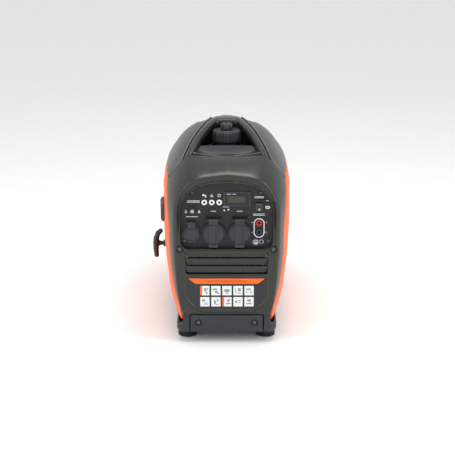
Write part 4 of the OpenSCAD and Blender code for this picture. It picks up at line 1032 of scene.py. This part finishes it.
# Each picture is a few bars of (x, z, width, height) in mm from the middle of its square
PICTURES = [
    [(1, 2, 5, 8), (4, -5, 4, 5), (6, 4, 2, 6)],
    [(-2, 3, 9, 4), (1, -3, 6, 5), (5, -6, 4, 3)],
    [(0, 0, 11, 7), (0, -6, 7, 1.6)],
    [(-5, 0, 1.8, 12), (3, 2, 6, 8), (3, -6, 8, 1.6)],
    [(-1, 3, 10, 4), (4, -4, 4, 4), (-5, -4, 3, 3)],
    [(-3, 3, 7, 5), (2, -3, 9, 1.4), (2, -6, 7, 1.4)],
    [(-2, -1, 4, 10), (4, 3, 4, 5), (3, -6, 6, 2)],
    [(3, 3, 5, 6), (3, -4, 9, 3), (6, 6, 2, 2)],
    [(-4, 0, 4, 6), (3, 3, 6, 2), (3, -2, 6, 2)],
    [(0, 3, 9, 5), (0, -4, 11, 3)],
]
for row in range(2):
    for col in range(5):
        cx, cz = (col - 2) * 23.8 + 0.8, 121.5 - 25.6 * row
        on_label(rounded(px(cx), cz * MM, 20 * MM, 21.6 * MM, 1 * MM), WHITE)
        if (row, col) in ((0, 0), (1, 2)):
            on_label(rounded(px(cx - 7.9), cz * MM, 4.2 * MM, 21.6 * MM, 0.8 * MM), ORANGE, 2)
        for dx, dz, w, h in PICTURES[row * 5 + col]:
            on_label(rounded(px(cx + dx), (cz + dz) * MM, w * MM, h * MM, min(w, h) * 0.3 * MM, 3), PICTURE,
                     2)
riding(joined("front_label", parts), nodes=["label_plate"])


# Sound-proofing foam behind the rear slots
foam = plate("rear_foam", rounded(MID_X, 270 * MM, 172 * MM, 116 * MM, 8 * MM), REAR - 22 * MM, 9 * MM,
             1.2 * MM)
finish_piece(foam, FOAM)


# ---- base, feet, filler, grip
tray_low, tray_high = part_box("base_tray")
POST_X = SKIRT_HALF + 0.9 * MM


def tray_field(wx, y, z):
    x = wx - MID_X
    half_x, half_y = (tray_high[0] - tray_low[0]) / 2, (tray_high[1] - tray_low[1]) / 2
    plan = slot_d(x, y, -half_x, half_x, -half_y, half_y, 20 * MM)
    plan = plan + 3.5 * MM * np.clip((34 * MM - z) / (12 * MM), 0, 1) ** 2
    cut_back = 19 * MM * np.clip((np.abs(x) - 94.5 * MM) / (1.5 * MM), 0, 1)
    post = smax(plan, z - tray_high[2] + cut_back, 2 * MM)
    post = np.maximum(post, np.maximum(POST_X - np.abs(x), 222 * MM - np.abs(y)))
    wall = smax(plan, z - 45 * MM, 2 * MM)
    front = np.maximum(HALF_L - 14 * MM - np.abs(y), np.abs(x) - POST_X)
    wall = np.maximum(wall, -front)
    out = smax(np.minimum(post, wall), 24 * MM - z, 3 * MM)
    for k in range(3):
        groove = np.maximum(np.abs(z - (36 + 9 * k) * MM) - 0.9 * MM, -(plan + 1.6 * MM))
        out = smax(out, -np.maximum(groove, 92 * MM - np.abs(x)), 0.7 * MM)
    hollow = np.maximum(plan + 5 * MM, 28 * MM - z)
    out = np.maximum(out, -hollow)
    pad = np.hypot(np.abs(x) - FOOT_X, np.abs(y) - FOOT_Y) - 23 * MM
    pad = np.maximum(pad, np.maximum(z - 26 * MM, 15.2 * MM - z))
    return smin(out, pad, 1.5 * MM)


moulded("base_frame", tray_field, "base_tray", 2.2 * MM, TRIM)

foot_profile = [(1e-4, 0), (15, 0), (16, 1.2), (19.6, 0.3), (20.8, 1.4), (20.9, 4.6), (19.4, 5.6),
                (19.4, 7.6),
                (20.9, 8.6), (20.9, 11.8), (19.8, 13.2), (19.2, 14.9), (1e-4, 14.9)]
parts = []
for sx in (-1, 1):
    for sy in (-1, 1):
        centre = (MID_X + sx * FOOT_X, sy * FOOT_Y, 0)
        parts.append(painted(lathe("foot", [(r * MM, h * MM) for r, h in foot_profile], centre, "z"), RUBBER))
riding(joined("rubber_foot_set", parts), nodes=["rubber_feet"])

low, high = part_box("fuel_cap")
cap_x, cap_y = (low[0] + high[0]) / 2, (low[1] + high[1]) / 2
z0, z1 = low[2], high[2]


def flutes(a, r, h):
    if r < 27 * MM:
        return r
    ridge = 0.5 + 0.5 * math.cos(36 * a)
    notch = math.exp(-((((a - 0.35) % math.pi) - 0.18) / 0.09) ** 2)
    depth = 1 if z0 + 1.5 * MM < h < z1 - 1.2 * MM else 0.5
    return r - 1.7 * MM * (1 - ridge**0.5) * depth - 2.4 * MM * notch


# Profiles of (radius, height) in mm: the skirt from the cap's foot, then its crown from the cap's top
skirt = [(25.7, 10), (25.9, 0), (31, 0), (32.4, 1.4), (32.4, 8), (32, 15)]
crown = [(31.6, -2.4), (29.6, -0.4), (27.2, 0), (25, -0.2), (24, -1.3), (17.5, -1.3), (16.4, -0.1),
         (14.6, -0.1),
         (4.3, -0.1)]
profile = [(r * MM, z0 + h * MM) for r, h in skirt] + [(r * MM, z1 + h * MM) for r, h in crown]
profile.append((4.2 * MM, z0 + 14.5 * MM))
cap = lathe("fuel_cap_moulding", profile, (cap_x, cap_y, 0), "z", sides=432, wave=flutes)
finish_piece(cap, RUBBER_GLOSS, "fuel_cap_body", ["fuel_cap"])


def lobes(a, r, h):
    return r if r < 4.5 * MM else r * (0.88 + 0.12 * math.cos(6 * a))


knob_z0, knob_z1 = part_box("fuel_cap")[1][2] + 0.3 * MM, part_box("vent_knob")[1][2] + 5 * MM
foot = [(3.9, -10), (3.9, 0), (10.6, 0), (13.2, 1), (13.7, 4)]
crown = [(13.4, -1.8), (12.2, -0.3), (10.4, 0), (8.6, -0.2), (7.8, -1.2), (1e-4, -1.4)]
profile = [(r * MM, knob_z0 + h * MM) for r, h in foot] + [(r * MM, knob_z1 + h * MM) for r, h in crown]
knob = lathe("vent_knob_moulding", profile, (cap_x, cap_y, 0), "z", sides=180, wave=lobes)
finish_piece(knob, RUBBER_GLOSS, "vent_knob_body", ["vent_knob"])

low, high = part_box("starter_grip")
grip_y, grip_z = (low[1] + high[1]) / 2, (low[2] + high[2]) / 2
bar_x, bar_top = low[0] + 7.4 * MM, high[2] - 5.6 * MM
bar_points = [(bar_x + 11.1 * MM, bar_top), (bar_x + 5.1 * MM, bar_top - 5.4 * MM),
              (bar_x + 1.2 * MM, bar_top - 16.4 * MM), (bar_x, grip_z), (bar_x, grip_z - 14 * MM),
              (bar_x + 1 * MM, low[2] + 5.8 * MM)]


def grip_field(x, y, z):
    best = None
    flat = (y - grip_y) / 1.15
    for (ax, az), (bx, bz) in zip(bar_points, bar_points[1:]):
        ex, ez = bx - ax, bz - az
        t = np.clip(((x - ax) * ex + (z - az) * ez) / (ex**2 + ez**2), 0, 1)
        thick = (5.5 + 1.3 * np.exp(-(((z - grip_z) / (20 * MM)) ** 2))) * MM
        d = np.sqrt((x - ax - t * ex) ** 2 + (z - az - t * ez) ** 2 + flat**2) - thick
        best = d if best is None else smin(best, d, 1.5 * MM)
    t = np.clip((x - low[0] - 7 * MM) / (high[0] - low[0] - 7 * MM), 0, 1)
    stem = np.hypot(y - grip_y, z - grip_z) - (6.2 - 1.6 * t) * MM
    stem = smax(stem, np.maximum(low[0] + 6 * MM - x, x - high[0]), 1.2 * MM)
    best = smin(best, stem, 5 * MM)
    for k in range(-3, 4):
        groove = np.abs(z - grip_z - k * 7.5 * MM + 2 * MM) - 0.6 * MM
        best = smax(best, -np.maximum(groove, x - low[0] - 3 * MM), 0.5 * MM)
    rope_hole = np.hypot(y - grip_y, z - grip_z) - 2.6 * MM
    return np.maximum(best, -rope_hole - np.where(x > low[0] + 9 * MM, 0, 1))


moulded("pull_grip", grip_field, "starter_grip", 0.9 * MM, GRIP, "grip_body", 1.5)

# Rope between its guide and the grip
ROPE_R, ROPE_SIDES = 2.35 * MM, 14
rope_x = np.linspace(-0.100, low[0] + 10 * MM, 90)
verts, faces = [], []
for i, x in enumerate(rope_x):
    for k in range(ROPE_SIDES):
        a = 2 * math.pi * k / ROPE_SIDES
        r = ROPE_R * (1 + 0.05 * math.cos(3 * a + i * 0.5))
        verts.append((x, grip_y + r * math.cos(a), grip_z + r * math.sin(a)))
for i in range(len(rope_x) - 1):
    for k in range(ROPE_SIDES):
        here, there = i * ROPE_SIDES, (i + 1) * ROPE_SIDES
        j = (k + 1) % ROPE_SIDES
        faces.append((here + k, there + k, there + j, here + j))
last = (len(rope_x) - 1) * ROPE_SIDES
faces += [tuple(range(ROPE_SIDES)), tuple(last + k for k in range(ROPE_SIDES))[::-1]]
rope = painted(mesh_object("pull_rope", verts, faces), ROPE)
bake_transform(rope)

# Softened edges on the CAD pieces that stay
SOFT_EDGES = {"engine_dial": 0.8, "dial_plate": 0.6, "rope_guide": 0.4, "rocker_frame": 0.5,
              "rocker_switch": 0.5,
              "terminal_ring": 0.6, "exhaust_outlet": 0.5, "dc_socket": 0.4, "socket_left": 0.4,
              "socket_right": 0.4, "control_panel": 0.3}
for name, width in SOFT_EDGES.items():
    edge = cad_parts[name].modifiers.new("soft_edges", "BEVEL")
    edge.width = width * MM
    edge.segments = 2
    edge.limit_method = "ANGLE"
    edge.angle_limit = math.radians(35)

# ---- floor, light and camera
scene = bpy.context.scene
scene.view_settings.view_transform = "Standard"
world = bpy.data.worlds.new("studio")
scene.world = world
world.use_nodes = True
world.node_tree.nodes["Background"].inputs["Color"].default_value = (1.0, 1.0, 1.0, 1)
world.node_tree.nodes["Background"].inputs["Strength"].default_value = 0.85

floor = mesh_object("floor", [(-9, -9, 0), (9, -9, 0), (9, 9, 0), (-9, 9, 0)], [(0, 1, 2, 3)], smooth=False)
floor.data.materials.append(material("studio_floor", "#f4f4f3", "#efefee", rough=(0.6, 0.75), grain=30,
                                     bump=0.0))

AIM = Vector((MID_X + 2 * MM, 0, 186 * MM))


def area_light(name, place, size, power):
    data = bpy.data.lights.new(name, "AREA")
    data.shape, data.size, data.size_y, data.energy = "RECTANGLE", size[0], size[1], power
    lamp = bpy.data.objects.new(name, data)
    scene.collection.objects.link(lamp)
    lamp.location = place
    lamp.rotation_euler = (AIM - Vector(place)).to_track_quat("-Z", "Y").to_euler()
    return lamp


area_light("top_soft", (0.1, -0.3, 2.2), (1.4, 0.8), 22)
area_light("left_strip", (-1.7, -1.1, 0.9), (0.35, 1.6), 9)
area_light("right_strip", (1.7, -0.9, 1.0), (0.35, 1.6), 11)
area_light("front_fill", (0.2, -2.6, 1.5), (1.6, 0.7), 5)

CAMERA_DISTANCE, CAMERA_ELEVATION = 2.5, math.radians(17.1)
camera = bpy.data.objects.new("camera", bpy.data.cameras.new("camera"))
camera.data.lens, camera.data.sensor_width = 83.8, 36
towards_camera = Vector((0, -math.cos(CAMERA_ELEVATION), math.sin(CAMERA_ELEVATION)))
camera.location = AIM + CAMERA_DISTANCE * towards_camera
camera.rotation_euler = (AIM - camera.location).to_track_quat("-Z", "Y").to_euler()
scene.collection.objects.link(camera)
scene.camera = camera
